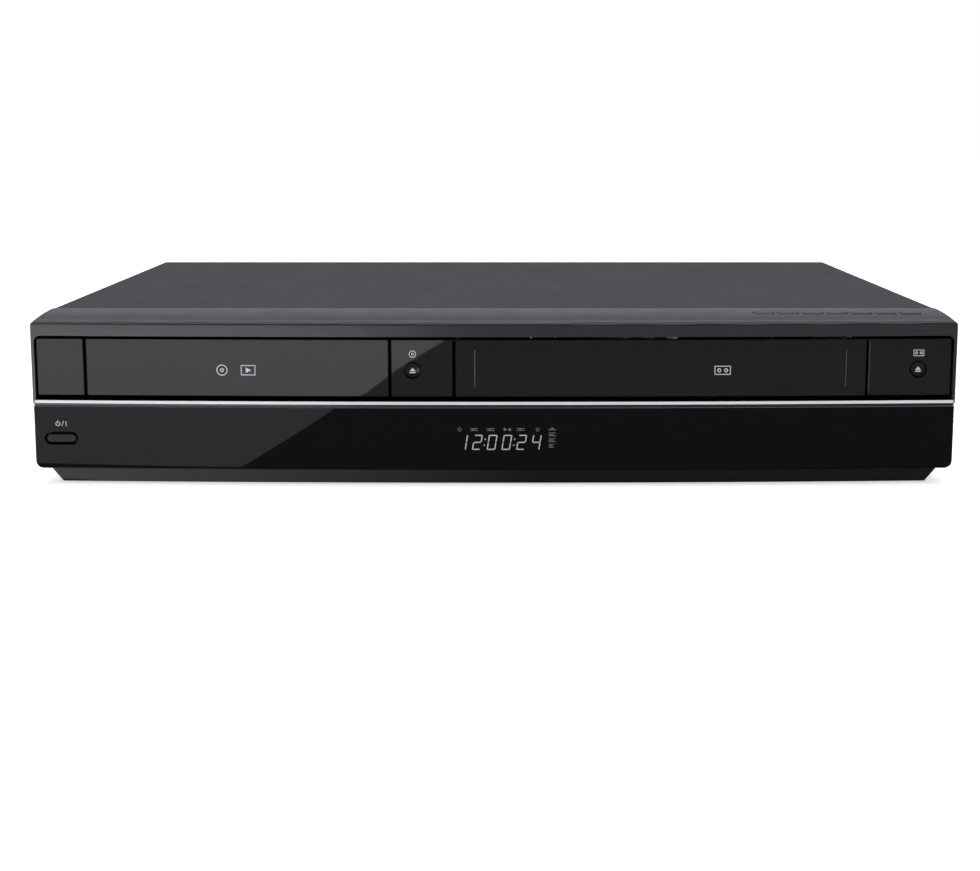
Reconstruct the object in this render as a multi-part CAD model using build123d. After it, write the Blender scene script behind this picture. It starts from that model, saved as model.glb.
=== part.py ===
"""A slim disc and video cassette combination player, with its case, disc drive, tape deck, boards and keys.

Millimetres, +X right, +Y to the rear, +Z up. The origin is on the floor, under the middle of the case.
Every visible front piece follows one shallow bow in plan, so places on the front are given as a depth
behind that bowed surface.
"""

from build123d import *
from math import acos, atan2, cos, degrees, pi, radians, sin, sqrt, tan
import os

# Driving dimensions of the case
HALF_WIDTH = 215.0
FRONT_Y = -177.0
BOW_SAGITTA = 6.0
CASE_TOP = 79.5
CASE_BOTTOM = 8.0
COVER_HALF = 214.0
COVER_FRONT = -131.0
SHEET = 0.8
REAR_Y = 167.2
SOCKET_END = 177.0
FOOT_RADIUS = 12.0
FOOT_X = 165.0
FOOT_FRONT_Y = -130.0
FOOT_REAR_Y = 135.0
BASE_PLATE = 1.0

# Heights of the front's rows
LIP_TOP = 77.3
LIP_BOTTOM = 70.7
ROW_BOTTOM = 39.0
STRIP_TOP = 40.6
DOOR_LOW = 42.6
DOOR_HIGH = 69.4
FASCIA_LOW = 8.2
FASCIA_HIGH = 37.9
CHIN_LOW = 0.8
TOP_CORNER = 1.9
LOW_CORNER = 4.0
ROW_CORNER = 2.4

# Depths behind the bowed front surface
PANEL_FACE = 1.8
PANEL_BACK = 3.8
FASCIA_FACE = 0.6
FASCIA_BACK = 3.4
ROW_WALL = 8.0
WALL = 2.0

# Sides of the panels in the row
BADGE_SPAN = (-213.0, -190.9)
DISC_DOOR_SPAN = (-189.7, -48.8)
DISC_KEY_SPAN = (-47.7, -19.1)
TAPE_DOOR_SPAN = (-17.9, 173.0)
TAPE_KEY_SPAN = (174.2, 213.0)
DISC_KEY_X = -37.7
TAPE_KEY_X = 197.5
KEY_Z = 54.9
EJECT_RADIUS = 3.7
POWER_X = -202.4
POWER_Z = 22.5
TOP_KEY_COUNT = 7
TOP_KEY_FIRST_X = 128.0
TOP_KEY_PITCH = 11.6
TOP_KEY_Y = -149.0

# Disc drive
DISC_X = -119.0
DISC_Y = -102.0
TRAY_HALF = 65.0
TRAY_FRONT = -166.0
TRAY_REAR = 8.0
TRAY_TOP = 60.5
TRAY_UNDER = 52.0
TRAVERSE_PIVOT_Y = -18.0
TRAVERSE_PIVOT_Z = 45.0
TRAVERSE_REST_TILT = 6.0
GEAR_MODULE = 1.0
GEAR_TEETH = 24
GEAR_X = -79.0
GEAR_Y = -142.0
MOTOR_X = -108.0
MOTOR_Y = -144.0
BACKLASH = 0.2

# Tape deck
TAPE_X = 76.85
DECK_TOP = 19.6
DECK_SHEET = 1.6
DOOR_AXIS_DEPTH = 3.4
DOOR_AXIS_Z = 69.0
HOLDER_FRONT = -150.0
HOLDER_REAR = -50.0
HOLDER_HALF = 94.0
HOLDER_FLOOR = 41.0
HOLDER_CEILING = 66.8
CARRIAGE_IN = 45.0
HOLDER_DOWN = 16.7
REEL_Y = -62.0
REEL_SPACING = 46.0
DRUM_Y = 36.0
DRUM_RADIUS = 31.0
DRUM_TILT = 6.0
CAPSTAN_X = 130.0
CAPSTAN_Y = 10.0
PINCH_PIVOT = (158.0, 26.0)
PINCH_ROLLER = (152.0, -4.0)
POST_START = (28.0, -6.0)
POST_END = (44.0, 40.0)

# Rear face
JACK_COLUMNS = 6
JACK_PITCH = 15.0
JACK_FIRST_X = -75.0
JACK_ROWS = (28.0, 50.0)
JACK_RADIUS = 4.15
JACK_STEM_RADIUS = 3.4
AERIAL_X = -120.0
AERIAL_RADIUS = 4.76
INLET_X = -185.0
INLET_Z = 26.0
DIGITAL_X = 32.0
FAN_X = 86.0
FAN_Z = 42.0
FAN_SIZE = 40.0

BOW_RADIUS = (HALF_WIDTH**2 + BOW_SAGITTA**2) / (2 * BOW_SAGITTA)
BOW_CENTRE_Y = FRONT_Y + BOW_RADIUS
BOW_AXIS = Axis((0, BOW_CENTRE_Y, 0), (0, 0, 1))
CLEAR = 0.05


def bow_y(x, depth=0.0):
    """How far back the surface at a depth behind the bowed front lies, at x."""
    return BOW_CENTRE_Y - sqrt((BOW_RADIUS - depth) ** 2 - x**2)


def block(x0, x1, y0, y1, z0, z1):
    """A box between two corners."""
    return Pos((x0 + x1) / 2, (y0 + y1) / 2, (z0 + z1) / 2) * Box(x1 - x0, y1 - y0, z1 - z0)


def rod_z(x, y, z0, z1, radius):
    """An upright cylinder."""
    return Pos(x, y, (z0 + z1) / 2) * Cylinder(radius, z1 - z0)


def rod_y(x, z, y0, y1, radius):
    """A cylinder from front to rear."""
    return Pos(x, (y0 + y1) / 2, z) * Rot(90, 0, 0) * Cylinder(radius, y1 - y0)


def rod_x(y, z, x0, x1, radius):
    """A cylinder from left to right."""
    return Pos((x0 + x1) / 2, y, z) * Rot(0, 90, 0) * Cylinder(radius, x1 - x0)


def mirrored(shape, x=0.0):
    """A shape with its reflection across the plane at x."""
    return shape + shape.mirror(Plane.YZ.offset(x))


def bowed_slab(front, back, x0, x1, z0, z1):
    """The space between two depths behind the bowed front, cut to an upright rectangle."""
    middle = (x0 + x1) / 2
    outer = ThreePointArc((x0, bow_y(x0, front)), (middle, bow_y(middle, front)), (x1, bow_y(x1, front)))
    inner = ThreePointArc((x0, bow_y(x0, back)), (middle, bow_y(middle, back)), (x1, bow_y(x1, back)))
    sides = [Line(outer @ 0, inner @ 0), Line(outer @ 1, inner @ 1)]
    return Pos(0, 0, z0) * extrude(make_face(Curve() + [outer, inner] + sides), amount=z1 - z0)


def front_outline(x0, x1, z0, z1, radius):
    """A rounded upright rectangle that runs right through the front."""
    face = Plane.XZ * Pos((x0 + x1) / 2, (z0 + z1) / 2) * RectangleRounded(x1 - x0, z1 - z0, radius)
    return Pos(0, -120, 0) * extrude(face, amount=80)


def bowed_panel(front, back, span, z0, z1, radius, bevel):
    """A bowed panel with rounded corners and a bevel round its face."""
    slab = bowed_slab(front, back, span[0] - 1, span[1] + 1, z0 - 1, z1 + 1)
    panel = slab & front_outline(span[0], span[1], z0, z1, radius)
    rear_limit = bow_y(max(abs(span[0]), abs(span[1])), front) + 0.02
    middle = (span[0] + span[1]) / 2
    face = panel.faces().sort_by_distance((middle, bow_y(middle, front), (z0 + z1) / 2))[0]
    if face.center().Y < rear_limit:
        panel = chamfer(face.edges(), bevel)
    return panel


def swept_section(points):
    """A closed section given as (depth, height), swept round the bow across the whole width."""
    face = make_face(Polyline(*[(0, FRONT_Y + depth, height) for depth, height in points], close=True))
    arc = 7.0
    return revolve(face, axis=BOW_AXIS, revolution_arc=arc).rotate(BOW_AXIS, -arc / 2)


def pill(x, z, width, height, y0, y1):
    """A bar with round ends, seen from the front, from y0 to y1."""
    face = Plane.XZ * Pos(x, z) * SlotOverall(width, height)
    return Pos(0, y1, 0) * extrude(face, amount=y1 - y0)


def front_body():
    """The outside of the front moulding: a block with a rounded lip and a gently rising top."""
    y = FRONT_Y
    edges = [
        Line((0, y, CASE_BOTTOM), (0, y, LIP_TOP - 1.3)),
        ThreePointArc((0, y, LIP_TOP - 1.3), (0, y + 0.4, LIP_TOP - 0.4), (0, y + 1.4, LIP_TOP)),
        ThreePointArc((0, y + 1.4, LIP_TOP), (0, y + 18, LIP_TOP + 1.45), (0, y + 38, CASE_TOP)),
        Line((0, y + 38, CASE_TOP), (0, y + 54, CASE_TOP)),
        Line((0, y + 54, CASE_TOP), (0, y + 54, CASE_BOTTOM)),
        Line((0, y + 54, CASE_BOTTOM), (0, y, CASE_BOTTOM)),
    ]
    arc = 7.0
    body = revolve(make_face(Curve() + edges), axis=BOW_AXIS, revolution_arc=arc).rotate(BOW_AXIS, -arc / 2)
    body = body & block(-HALF_WIDTH, HALF_WIDTH, -190, COVER_FRONT - 0.2, 0, 90)
    for side in (-1, 1):
        body -= top_corner_waste(side)
        body -= corner_waste(side * HALF_WIDTH, CASE_BOTTOM, side, -1, LOW_CORNER)
    return body


def corner_waste(x, z, side, up, radius, proud=0.05):
    """What is cut from a corner of a front piece to round it, seen from the front.

    The round stands a hair proud of the corner's sides, so that no face of the cut only touches them.
    """
    cx, cz = x - side * (radius - proud), z - up * (radius - proud)
    waste = block(min(cx, x + side), max(cx, x + side), -182, -110, min(cz, z + up), max(cz, z + up))
    return waste - rod_y(cx, cz, -183, -109, radius)


def top_corner_waste(side, proud=0.05):
    """What is cut from the rising top's side edge to round it, from the lip right back to the cover."""
    shift = BOW_SAGITTA
    y0, z0 = FRONT_Y + 1.4 + shift, LIP_TOP
    y1, z1 = FRONT_Y + 18 + shift, LIP_TOP + 1.45
    y2, z2 = FRONT_Y + 38 + shift, CASE_TOP
    twice = 2 * (y0 * (z1 - z2) + y1 * (z2 - z0) + y2 * (z0 - z1))
    s0, s1, s2 = y0**2 + z0**2, y1**2 + z1**2, y2**2 + z2**2
    cy = (s0 * (z1 - z2) + s1 * (z2 - z0) + s2 * (z0 - z1)) / twice
    cz = (s0 * (y2 - y1) + s1 * (y0 - y2) + s2 * (y1 - y0)) / twice
    rise = sqrt((y0 - cy) ** 2 + (z0 - cz) ** 2)
    middle_x = side * (HALF_WIDTH - TOP_CORNER + proud)
    middle_z = cz + rise - TOP_CORNER + proud
    inner, outer = middle_x, side * (HALF_WIDTH + 1)
    square = Polyline((inner, middle_z), (outer, middle_z), (outer, cz + rise + 1), (inner, cz + rise + 1), close=True)
    face = make_face(square) - Pos(middle_x, middle_z) * Circle(TOP_CORNER)
    profile = Plane(origin=(0, cy, 0), x_dir=(1, 0, 0), z_dir=(0, -1, 0)) * face
    axis = Axis((0, cy, cz), (1, 0, 0))
    return revolve(profile, axis=axis, revolution_arc=60).rotate(axis, -5)


def chin():
    """The set-back foot of the front, with slanting front and ends."""
    section = [(5, 8.2), (8, CHIN_LOW), (15, CHIN_LOW), (15, 2.6), (10, 2.6), (10, 8.2)]
    ends = Polyline((-209, 8.2), (209, 8.2), (204, CHIN_LOW), (-204, CHIN_LOW), close=True)
    return swept_section(section) & (Pos(0, -120, 0) * extrude(Plane.XZ * make_face(ends), amount=80))


def door_axis_plane():
    """The cassette door's hinge line: along its own chord of the bow, so it is turned a little in plan."""
    x0, x1 = TAPE_DOOR_SPAN
    y0, y1 = bow_y(x0, DOOR_AXIS_DEPTH), bow_y(x1, DOOR_AXIS_DEPTH)
    along = Vector(x1 - x0, y1 - y0, 0)
    return Plane(origin=((x0 + x1) / 2, (y0 + y1) / 2, DOOR_AXIS_Z), x_dir=(0, 0, 1), z_dir=along)


def door_pin(start, end, radius):
    """A round pin on the door's hinge line, between two distances along it from the door's middle."""
    pin = Pos(0, 0, (start + end) / 2) * Cylinder(radius, end - start)
    return door_axis_plane() * pin


def door_half_length():
    """Half of the door's chord."""
    return (TAPE_DOOR_SPAN[1] - TAPE_DOOR_SPAN[0]) / 2


def top_key_x(number):
    """The centre of one of the top keys."""
    return TOP_KEY_FIRST_X + TOP_KEY_PITCH * number


def front_frame():
    """The front moulding: lip, top, cheeks, inner wall with its openings, chin, hinge ears and snap tabs."""
    cavity = swept_section([(ROW_WALL + WALL, 36), (ROW_WALL + WALL, 75.2), (38, 77.4), (60, 77.4), (60, 36)])
    cavity += swept_section([(FASCIA_BACK + WALL, 4), (FASCIA_BACK + WALL, 36.2), (60, 36.2), (60, 4)])
    cavity = cavity & block(-HALF_WIDTH + WALL, HALF_WIDTH - WALL, -190, -100, 0, 90)
    frame = front_body() - cavity
    row = bowed_slab(-2, ROW_WALL, -215, 215, ROW_BOTTOM, LIP_BOTTOM + 1)
    frame -= row & front_outline(-213.6, 213.6, ROW_BOTTOM - 6, LIP_BOTTOM, 3.0)
    frame -= bowed_slab(-2, 3.0, -214.5, 214.5, ROW_BOTTOM, STRIP_TOP)
    frame -= bowed_slab(-2, FASCIA_BACK, -216, 216, 0, FASCIA_HIGH + 0.1)
    frame -= bowed_slab(-2, 1.6, -216, 216, FASCIA_HIGH, ROW_BOTTOM + 0.1)
    frame -= front_outline(-187.3, -50.7, 45.6, 62.4, 0.5)
    frame -= block(TAPE_DOOR_SPAN[0] - 0.5, TAPE_DOOR_SPAN[1] + 0.5, -172.5, -150, STRIP_TOP, LIP_BOTTOM)
    for x in (DISC_KEY_X, TAPE_KEY_X):
        frame -= rod_y(x, KEY_Z, -176, -150, 5.4)
    frame -= pill(POWER_X, POWER_Z, 18.5, 9.5, -180, -150)
    frame -= block(-28, 44, -176, -150, 12, 31)
    for number in range(TOP_KEY_COUNT):
        x = top_key_x(number)
        frame -= block(x - 4.95, x + 4.95, TOP_KEY_Y - 2.95, TOP_KEY_Y + 2.95, 73, 82)
    frame += chin()
    half = door_half_length()
    for start, x in ((-half - 4.1, TAPE_DOOR_SPAN[0] - 3.1), (half + 1.7, TAPE_DOOR_SPAN[1] + 2.9)):
        y = bow_y(x)
        ear = block(x - 1.1, x + 1.1, y + 2.7, y + ROW_WALL + 0.5, 67.2, LIP_BOTTOM)
        frame += ear - door_pin(start - 3, start + 6, 0.75)
    for x in (-130, -36, 50, 150):
        frame += block(x - 8, x + 8, bow_y(x, 4.6), -146, CASE_BOTTOM, 9.8)
    for x in (TOP_KEY_FIRST_X - 8.4, top_key_x(TOP_KEY_COUNT - 1) + 8.4):
        frame += rod_z(x, TOP_KEY_Y, 71.8, 77.6, 2.2)
    return frame


def panel_posts(xs, heights):
    """Round pegs that hold a panel of the row to the inner wall."""
    pegs = Part()
    for x in xs:
        for z in heights:
            pegs += rod_y(x, z, bow_y(x, PANEL_BACK - 0.6), bow_y(x, ROW_WALL) - 0.02, 1.6)
    return pegs


def hinge_relief(x):
    """The hollow behind a key panel's top corner, which clears the door's hinge ear."""
    return block(x - 3.6, x + 3.6, bow_y(x, 2.5), -150, 66.6, 70)


def row_panel(span):
    """A fixed panel of the row, between two sides."""
    return bowed_panel(PANEL_FACE, PANEL_BACK, span, DOOR_LOW, DOOR_HIGH, 0.8, 0.35)


def badge_panel():
    """The bare panel at the left end of the row."""
    panel = row_panel(BADGE_SPAN) - corner_waste(BADGE_SPAN[0], DOOR_HIGH, -1, 1, ROW_CORNER)
    return panel + panel_posts((-207, -196), (50, 62))


def disc_key_panel():
    """The panel between the two doors, with the round hole for the disc eject key."""
    panel = row_panel(DISC_KEY_SPAN) - rod_y(DISC_KEY_X, KEY_Z, -180, -160, EJECT_RADIUS + 0.4)
    return panel - hinge_relief(DISC_KEY_SPAN[1]) + panel_posts((-45.5, -27), (46, 63))


def tape_key_panel():
    """The panel at the right end of the row, with the round hole for the tape eject key."""
    panel = row_panel(TAPE_KEY_SPAN) - rod_y(TAPE_KEY_X, KEY_Z, -180, -160, EJECT_RADIUS + 0.4)
    panel -= corner_waste(TAPE_KEY_SPAN[1], DOOR_HIGH, 1, 1, ROW_CORNER)
    return panel - hinge_relief(TAPE_KEY_SPAN[0]) + panel_posts((180, 208), (46, 63))


def lower_fascia():
    """The wide gloss panel under the row, with the power key's pill-shaped hole."""
    span = (-HALF_WIDTH, HALF_WIDTH)
    panel = bowed_panel(FASCIA_FACE, FASCIA_BACK, span, FASCIA_LOW, FASCIA_HIGH, 0.6, 0.45)
    for side in (-1, 1):
        panel -= corner_waste(side * HALF_WIDTH, FASCIA_LOW, side, -1, LOW_CORNER)
    return panel - pill(POWER_X, POWER_Z, 15.8, 6.2, -180, -160)


def trim_strip():
    """The bright strip between the row and the lower fascia."""
    strip = bowed_slab(0.3, ROW_WALL, -213.2, 213.2, ROW_BOTTOM, STRIP_TOP)
    return strip + bowed_slab(0.3, 2.9, -214.4, 214.4, ROW_BOTTOM, STRIP_TOP)


def tray_fascia():
    """The disc door: a bowed panel with two blocks that hold it on the tray's front edge."""
    panel = bowed_panel(PANEL_FACE, 4.2, DISC_DOOR_SPAN, DOOR_LOW, DOOR_HIGH, 0.8, 0.35)
    for x in (-165, -73):
        panel += block(x - 9, x + 9, bow_y(x, 3.6), TRAY_FRONT, 53, 60)
    return panel


def cassette_door():
    """The flap over the cassette opening, with two shallow grooves and its hinge pins."""
    door = bowed_panel(PANEL_FACE, PANEL_BACK, TAPE_DOOR_SPAN, DOOR_LOW, DOOR_HIGH, 0.8, 0.35)
    for x in (-9.0, 163.5):
        door -= pill(x, 55.8, 1.1, 1.1, -180, bow_y(x, PANEL_FACE + 0.7))
        groove = Pos(x, 0, 55.8) * Box(1.1, 4, 17.5)
        door -= Pos(0, bow_y(x, PANEL_FACE + 0.7) - 2, 0) * groove
    half = door_half_length()
    door += door_pin(half - 4, half + 4.6, 0.7) + door_pin(-half - 4.6, -half + 4, 0.7)
    return door


def eject_button(x):
    """A round dished key with a flange behind the panel and a stem to its switch."""
    face_y = bow_y(x, PANEL_FACE + 0.3)
    key = rod_y(x, KEY_Z, face_y, bow_y(x, 6.2), EJECT_RADIUS)
    key = chamfer(key.edges().group_by(Axis.Y)[0], 0.5)
    dish_radius = 22.0
    key -= Pos(x, face_y - dish_radius + 0.35, KEY_Z) * Sphere(dish_radius)
    key += rod_y(x, KEY_Z, bow_y(x, 4.6), bow_y(x, 6.2), EJECT_RADIUS + 1.1)
    return key + rod_y(x, KEY_Z, bow_y(x, 6.0), -163.2 if x < 0 else -159.0, 1.6)


def power_button():
    """The pill-shaped power key, with its flange and stem."""
    key = pill(POWER_X, POWER_Z, 14.4, 4.6, bow_y(POWER_X, 1.0), bow_y(POWER_X, 6.0))
    key = fillet(key.edges().group_by(Axis.Y)[0], 0.8)
    key += pill(POWER_X, POWER_Z, 17.2, 7.6, bow_y(POWER_X, 4.6), bow_y(POWER_X, 6.0))
    return key + rod_y(POWER_X, POWER_Z, bow_y(POWER_X, 5.8), -162.0, 1.8)


def top_key(number):
    """One small key of the top edge, with a flange under the top and a stem."""
    x = top_key_x(number)
    key = block(x - 4.6, x + 4.6, TOP_KEY_Y - 2.6, TOP_KEY_Y + 2.6, 75.0, 79.35)
    key = fillet(key.edges().group_by(Axis.Z)[-1], 0.6)
    key += block(x - 5.2, x + 5.2, TOP_KEY_Y - 3.6, TOP_KEY_Y + 3.6, 74.6, 75.6)
    return key + rod_z(x, TOP_KEY_Y, 73.9, 75.0, 1.5)


def vent_row(x0, x1, y0, count, pitch, z0, z1):
    """A row of upright slots through a side wall."""
    slots = Part()
    for number in range(count):
        y = y0 + pitch * number
        slots += block(x0, x1, y, y + 2.4, z0, z1)
    return slots


def top_cover():
    """The folded sheet cover: top, two sides with vents, and a narrow rear flange."""
    outside = block(-COVER_HALF, COVER_HALF, COVER_FRONT, REAR_Y + 2 * SHEET, CASE_BOTTOM, CASE_TOP)
    outside = fillet(outside.edges().filter_by(Axis.Y).group_by(Axis.Z)[-1], 1.6)
    cover = outside - block(-213.2, 213.2, COVER_FRONT - 1, REAR_Y + SHEET, 0, CASE_TOP - SHEET)
    cover -= block(-213.2, 213.2, REAR_Y, REAR_Y + 5, 0, 70)
    for side in (-215.0, 212.0):
        cover -= vent_row(side, side + 3, 20, 16, 6.5, 26, 40)
        cover -= vent_row(side, side + 3, 20, 16, 6.5, 46, 60)
    for side in (-1, 1):
        for y in (-110, 145):
            cover -= rod_x(y, 15, side * 213.6 - 3, side * 213.6 + 3, 1.7)
    for x in (-190, 0, 190):
        cover -= rod_y(x, 74.4, REAR_Y, REAR_Y + 4, 1.7)
    return cover


def case_screws():
    """Seven pan-head screws with cross slots: two in each side and three in the rear flange."""
    head = Pos(0, 0, 0.5) * Cylinder(3.2, 1.0)
    head = chamfer(head.edges().group_by(Axis.Z)[-1], 0.3)
    head -= Pos(0, 0, 1) * (Box(3.6, 0.7, 1.0) + Box(0.7, 3.6, 1.0))
    screw = head + Pos(0, 0, -3) * Cylinder(1.45, 6.2)
    group = []
    for side in (-1, 1):
        for y in (-110, 145):
            group.append(Location((side * COVER_HALF, y, 15), (0, side * 90, 0)) * screw)
    for x in (-190, 0, 190):
        group.append(Location((x, REAR_Y + 2 * SHEET, 74.4), (-90, 0, 0)) * screw)
    return Compound(children=group)


def base_chassis():
    """The pressed steel floor of the case, with side flanges, vents and the posts that carry the boards."""
    top = CASE_BOTTOM
    plate = block(-213.2, 213.2, -158, REAR_Y, top - BASE_PLATE, top)
    plate += mirrored(block(-213.2, -212.4, -128, REAR_Y, top - BASE_PLATE, 22))
    for number in range(5):
        y = 74 + 9 * number
        plate -= block(-196, -116, y, y + 3, 0, 20)
        plate -= block(60, 140, y, y + 3, 0, 20)
    for y in (-110, 145):
        plate -= rod_x(y, 15, -216, 216, 1.5)
    for x, y in ((-85, 90), (60, 158), (196, 90), (196, 158), (-200, 68), (-200, 120), (-108, 68), (-108, 120)):
        plate += rod_z(x, y, top - 0.2, 14, 3)
    return plate


def feet():
    """Four round feet, hollow under a recessed screw."""
    group = []
    for x in (-FOOT_X, FOOT_X):
        for y in (FOOT_FRONT_Y, FOOT_REAR_Y):
            foot = rod_z(x, y, 0, CASE_BOTTOM - BASE_PLATE, FOOT_RADIUS)
            foot = fillet(foot.edges().group_by(Axis.Z)[0], 1.2)
            foot -= rod_z(x, y, -1, 4, 4)
            group.append(foot)
    return Compound(children=group)


def rear_panel():
    """The sheet rear panel, with holes for the sockets and slots for the fan."""
    panel = block(-213.2, 213.2, REAR_Y, REAR_Y + SHEET, 7, 78.6)
    panel -= block(INLET_X - 12, INLET_X + 12, 160, 170, INLET_Z - 8, INLET_Z + 8)
    for z in JACK_ROWS:
        panel -= rod_y(AERIAL_X, z, 160, 170, 6)
        for column in range(JACK_COLUMNS):
            panel -= rod_y(JACK_FIRST_X + JACK_PITCH * column, z, 160, 170, 5.4)
    panel -= block(DIGITAL_X - 8, DIGITAL_X + 8, 160, 170, JACK_ROWS[0] - 3.2, JACK_ROWS[0] + 3.2)
    for number in range(8):
        z = FAN_Z - 16.1 + 4.6 * number
        half = sqrt(18**2 - (z - FAN_Z) ** 2)
        panel -= block(FAN_X - half, FAN_X + half, 160, 170, z - 1.3, z + 1.3)
    for x in (-190, 0, 190):
        panel -= rod_y(x, 74.4, 160, 170, 1.5)
    return panel


def mains_inlet():
    """The two-pole mains inlet: a flanged block with a figure-eight socket."""
    body = block(INLET_X - 11.5, INLET_X + 11.5, 148, REAR_Y + SHEET, INLET_Z - 7.5, INLET_Z + 7.5)
    body += block(INLET_X - 15, INLET_X + 15, REAR_Y + SHEET, SOCKET_END - 6, INLET_Z - 10, INLET_Z + 10)
    socket = pill(INLET_X, INLET_Z, 16.4, 8.4, 155, 190)
    return body - socket


def inlet_pins():
    """The inlet's two round pins."""
    return Compound(children=[rod_y(INLET_X + side * 4.3, INLET_Z, 155, 168, 1.2) for side in (-1, 1)])


def jack_block():
    """The moulded block behind the audio and video jacks, with the digital socket beside them."""
    last = JACK_FIRST_X + JACK_PITCH * (JACK_COLUMNS - 1)
    body = block(JACK_FIRST_X - 7, last + 7, 152, REAR_Y, 15.6, 58)
    for z in JACK_ROWS:
        for column in range(JACK_COLUMNS):
            x = JACK_FIRST_X + JACK_PITCH * column
            body += rod_y(x, z, REAR_Y - 1, REAR_Y + 1.8, 5.3)
            body -= rod_y(x, z, REAR_Y - 4, REAR_Y + 4, JACK_STEM_RADIUS)
    digital = block(DIGITAL_X - 7.8, DIGITAL_X + 7.8, 156, REAR_Y + 1.2, 25, 31)
    digital -= block(DIGITAL_X - 7, DIGITAL_X + 7, 158, REAR_Y + 3, 25.7, 30.3)
    digital += block(DIGITAL_X - 5.5, DIGITAL_X + 5.5, 157, REAR_Y, 27.5, 28.5)
    return body + digital + block(last, DIGITAL_X, 156, 160, 15.6, 31)


def jack_barrels():
    """Twelve round jack barrels, each with its centre hole."""
    group = []
    for z in JACK_ROWS:
        for column in range(JACK_COLUMNS):
            x = JACK_FIRST_X + JACK_PITCH * column
            barrel = rod_y(x, z, REAR_Y + 1.8, SOCKET_END, JACK_RADIUS)
            barrel = chamfer(barrel.edges().group_by(Axis.Y)[-1], 0.4)
            barrel += rod_y(x, z, REAR_Y - 4, REAR_Y + 2.4, JACK_STEM_RADIUS)
            group.append(barrel - rod_y(x, z, REAR_Y - 2, SOCKET_END + 1, 1.65))
    return Compound(children=group)


def tuner_module():
    """The screened tuner box with two threaded aerial sockets."""
    body = block(AERIAL_X - 14, AERIAL_X + 14, 128, REAR_Y, 15.6, 62)
    for z in JACK_ROWS:
        body += rod_y(AERIAL_X, z, REAR_Y - 1, SOCKET_END, AERIAL_RADIUS)
        body -= rod_y(AERIAL_X, z, SOCKET_END - 7, SOCKET_END + 1, 2.6)
    return body


def fan_frame():
    """The square frame of the cooling fan, with its motor support and four struts."""
    frame = block(FAN_X - 20, FAN_X + 20, REAR_Y - 10, REAR_Y, FAN_Z - 20, FAN_Z + 20)
    frame -= rod_y(FAN_X, FAN_Z, 150, 170, 18.6)
    frame += rod_y(FAN_X, FAN_Z, REAR_Y - 1.5, REAR_Y, 9)
    struts = block(FAN_X - 19, FAN_X + 19, REAR_Y - 1.5, REAR_Y, FAN_Z - 1, FAN_Z + 1)
    struts += block(FAN_X - 1, FAN_X + 1, REAR_Y - 1.5, REAR_Y, FAN_Z - 19, FAN_Z + 19)
    return frame + struts + rod_y(FAN_X, FAN_Z, REAR_Y - 7, REAR_Y, 1.5)


def fan_rotor():
    """The fan's hub with seven slanted blades."""
    front, back = REAR_Y - 9.6, REAR_Y - 2.0
    hub = rod_y(FAN_X, FAN_Z, front, back, 9)
    blade = Pos(13.2, 0, 0) * Rot(35, 0, 0) * Box(9.6, 1.0, 8.4)
    blades = Part()
    for number in range(7):
        blades += Rot(0, 0, 360 / 7 * number) * blade
    blades = Location((FAN_X, (front + back) / 2, FAN_Z), (90, 0, 0)) * blades
    return hub + blades - rod_y(FAN_X, FAN_Z, back - 5.3, back + 1, 1.5 + CLEAR)


def front_boards():
    """The narrow board behind the fascia, the two eject key boards and the top key board."""
    lower = block(-211, 45, -158, -156.4, 9.8, 30)
    disc_side = block(-46.5, -20, -159.4, -157.8, 30.5, 62)
    tape_side = block(184, 212, -155.2, -153.6, 30, 64)
    upper = block(117, 211, -158, -140, 70.6, 71.8)
    return Compound(children=[lower, disc_side, tape_side, upper])


def switch_body(length):
    """A push switch, pointing up, with its round plunger."""
    return Pos(0, 0, length / 2 - 0.4) * Box(6, 6, length - 0.8) + Pos(0, 0, length - 0.5) * Cylinder(1.6, 0.6)


def tact_switches():
    """The push switches under the keys."""
    group = [Location((DISC_KEY_X, -159.4, KEY_Z), (90, 0, 0)) * switch_body(2.8)]
    group.append(Location((TAPE_KEY_X, -155.2, KEY_Z), (90, 0, 0)) * switch_body(2.8))
    group.append(Location((POWER_X, -158, POWER_Z), (90, 0, 0)) * switch_body(3.0))
    for number in range(TOP_KEY_COUNT):
        group.append(Pos(top_key_x(number), TOP_KEY_Y, 71.8) * switch_body(1.4))
    return Compound(children=group)


def display_module():
    """The glass clock display with its carrier, just behind the fascia."""
    glass = block(-26, 42, -173.2, -168.5, 13, 30)
    return glass + block(-24, 40, -168.6, -158, 14, 22)


def main_board():
    """The main circuit board with its chips, connectors and capacitors."""
    board = block(-95, 205, 82, 164, 14, 15.6)
    for x, y, size in ((20, 110, 28), (75, 112, 18), (-40, 108, 22)):
        board += block(x - size / 2, x + size / 2, y - size / 2, y + size / 2, 15.5, 18)
    for x in (110, 128, 146, 164):
        board += rod_z(x, 100, 15.5, 27, 4)
    for x in (-70, 40, 150):
        board += block(x - 12, x + 12, 84, 90, 15.5, 24)
    return board


def power_board():
    """The supply board with its capacitors and heat sink."""
    board = block(-206, -102, 62, 126, 14, 15.6)
    board += rod_z(-190, 104, 15.5, 48, 11)
    for x in (-112, -124, -136):
        board += rod_z(x, 116, 15.5, 34, 5)
    for number in range(6):
        y = 66 + 4.5 * number
        board += block(-132, -106, y, y + 1.6, 15.5, 44)
    return board + block(-133, -130, 66, 90.1, 15.5, 44)


def transformer():
    """The supply's transformer: a core round a taped bobbin."""
    core = block(-176, -142, 68, 96, 15.6, 42) - block(-170, -148, 66, 98, 21, 36.6)
    return core + block(-170, -148, 71, 93, 21, 36.6) + block(-166, -152, 66, 98, 24, 34)


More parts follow.
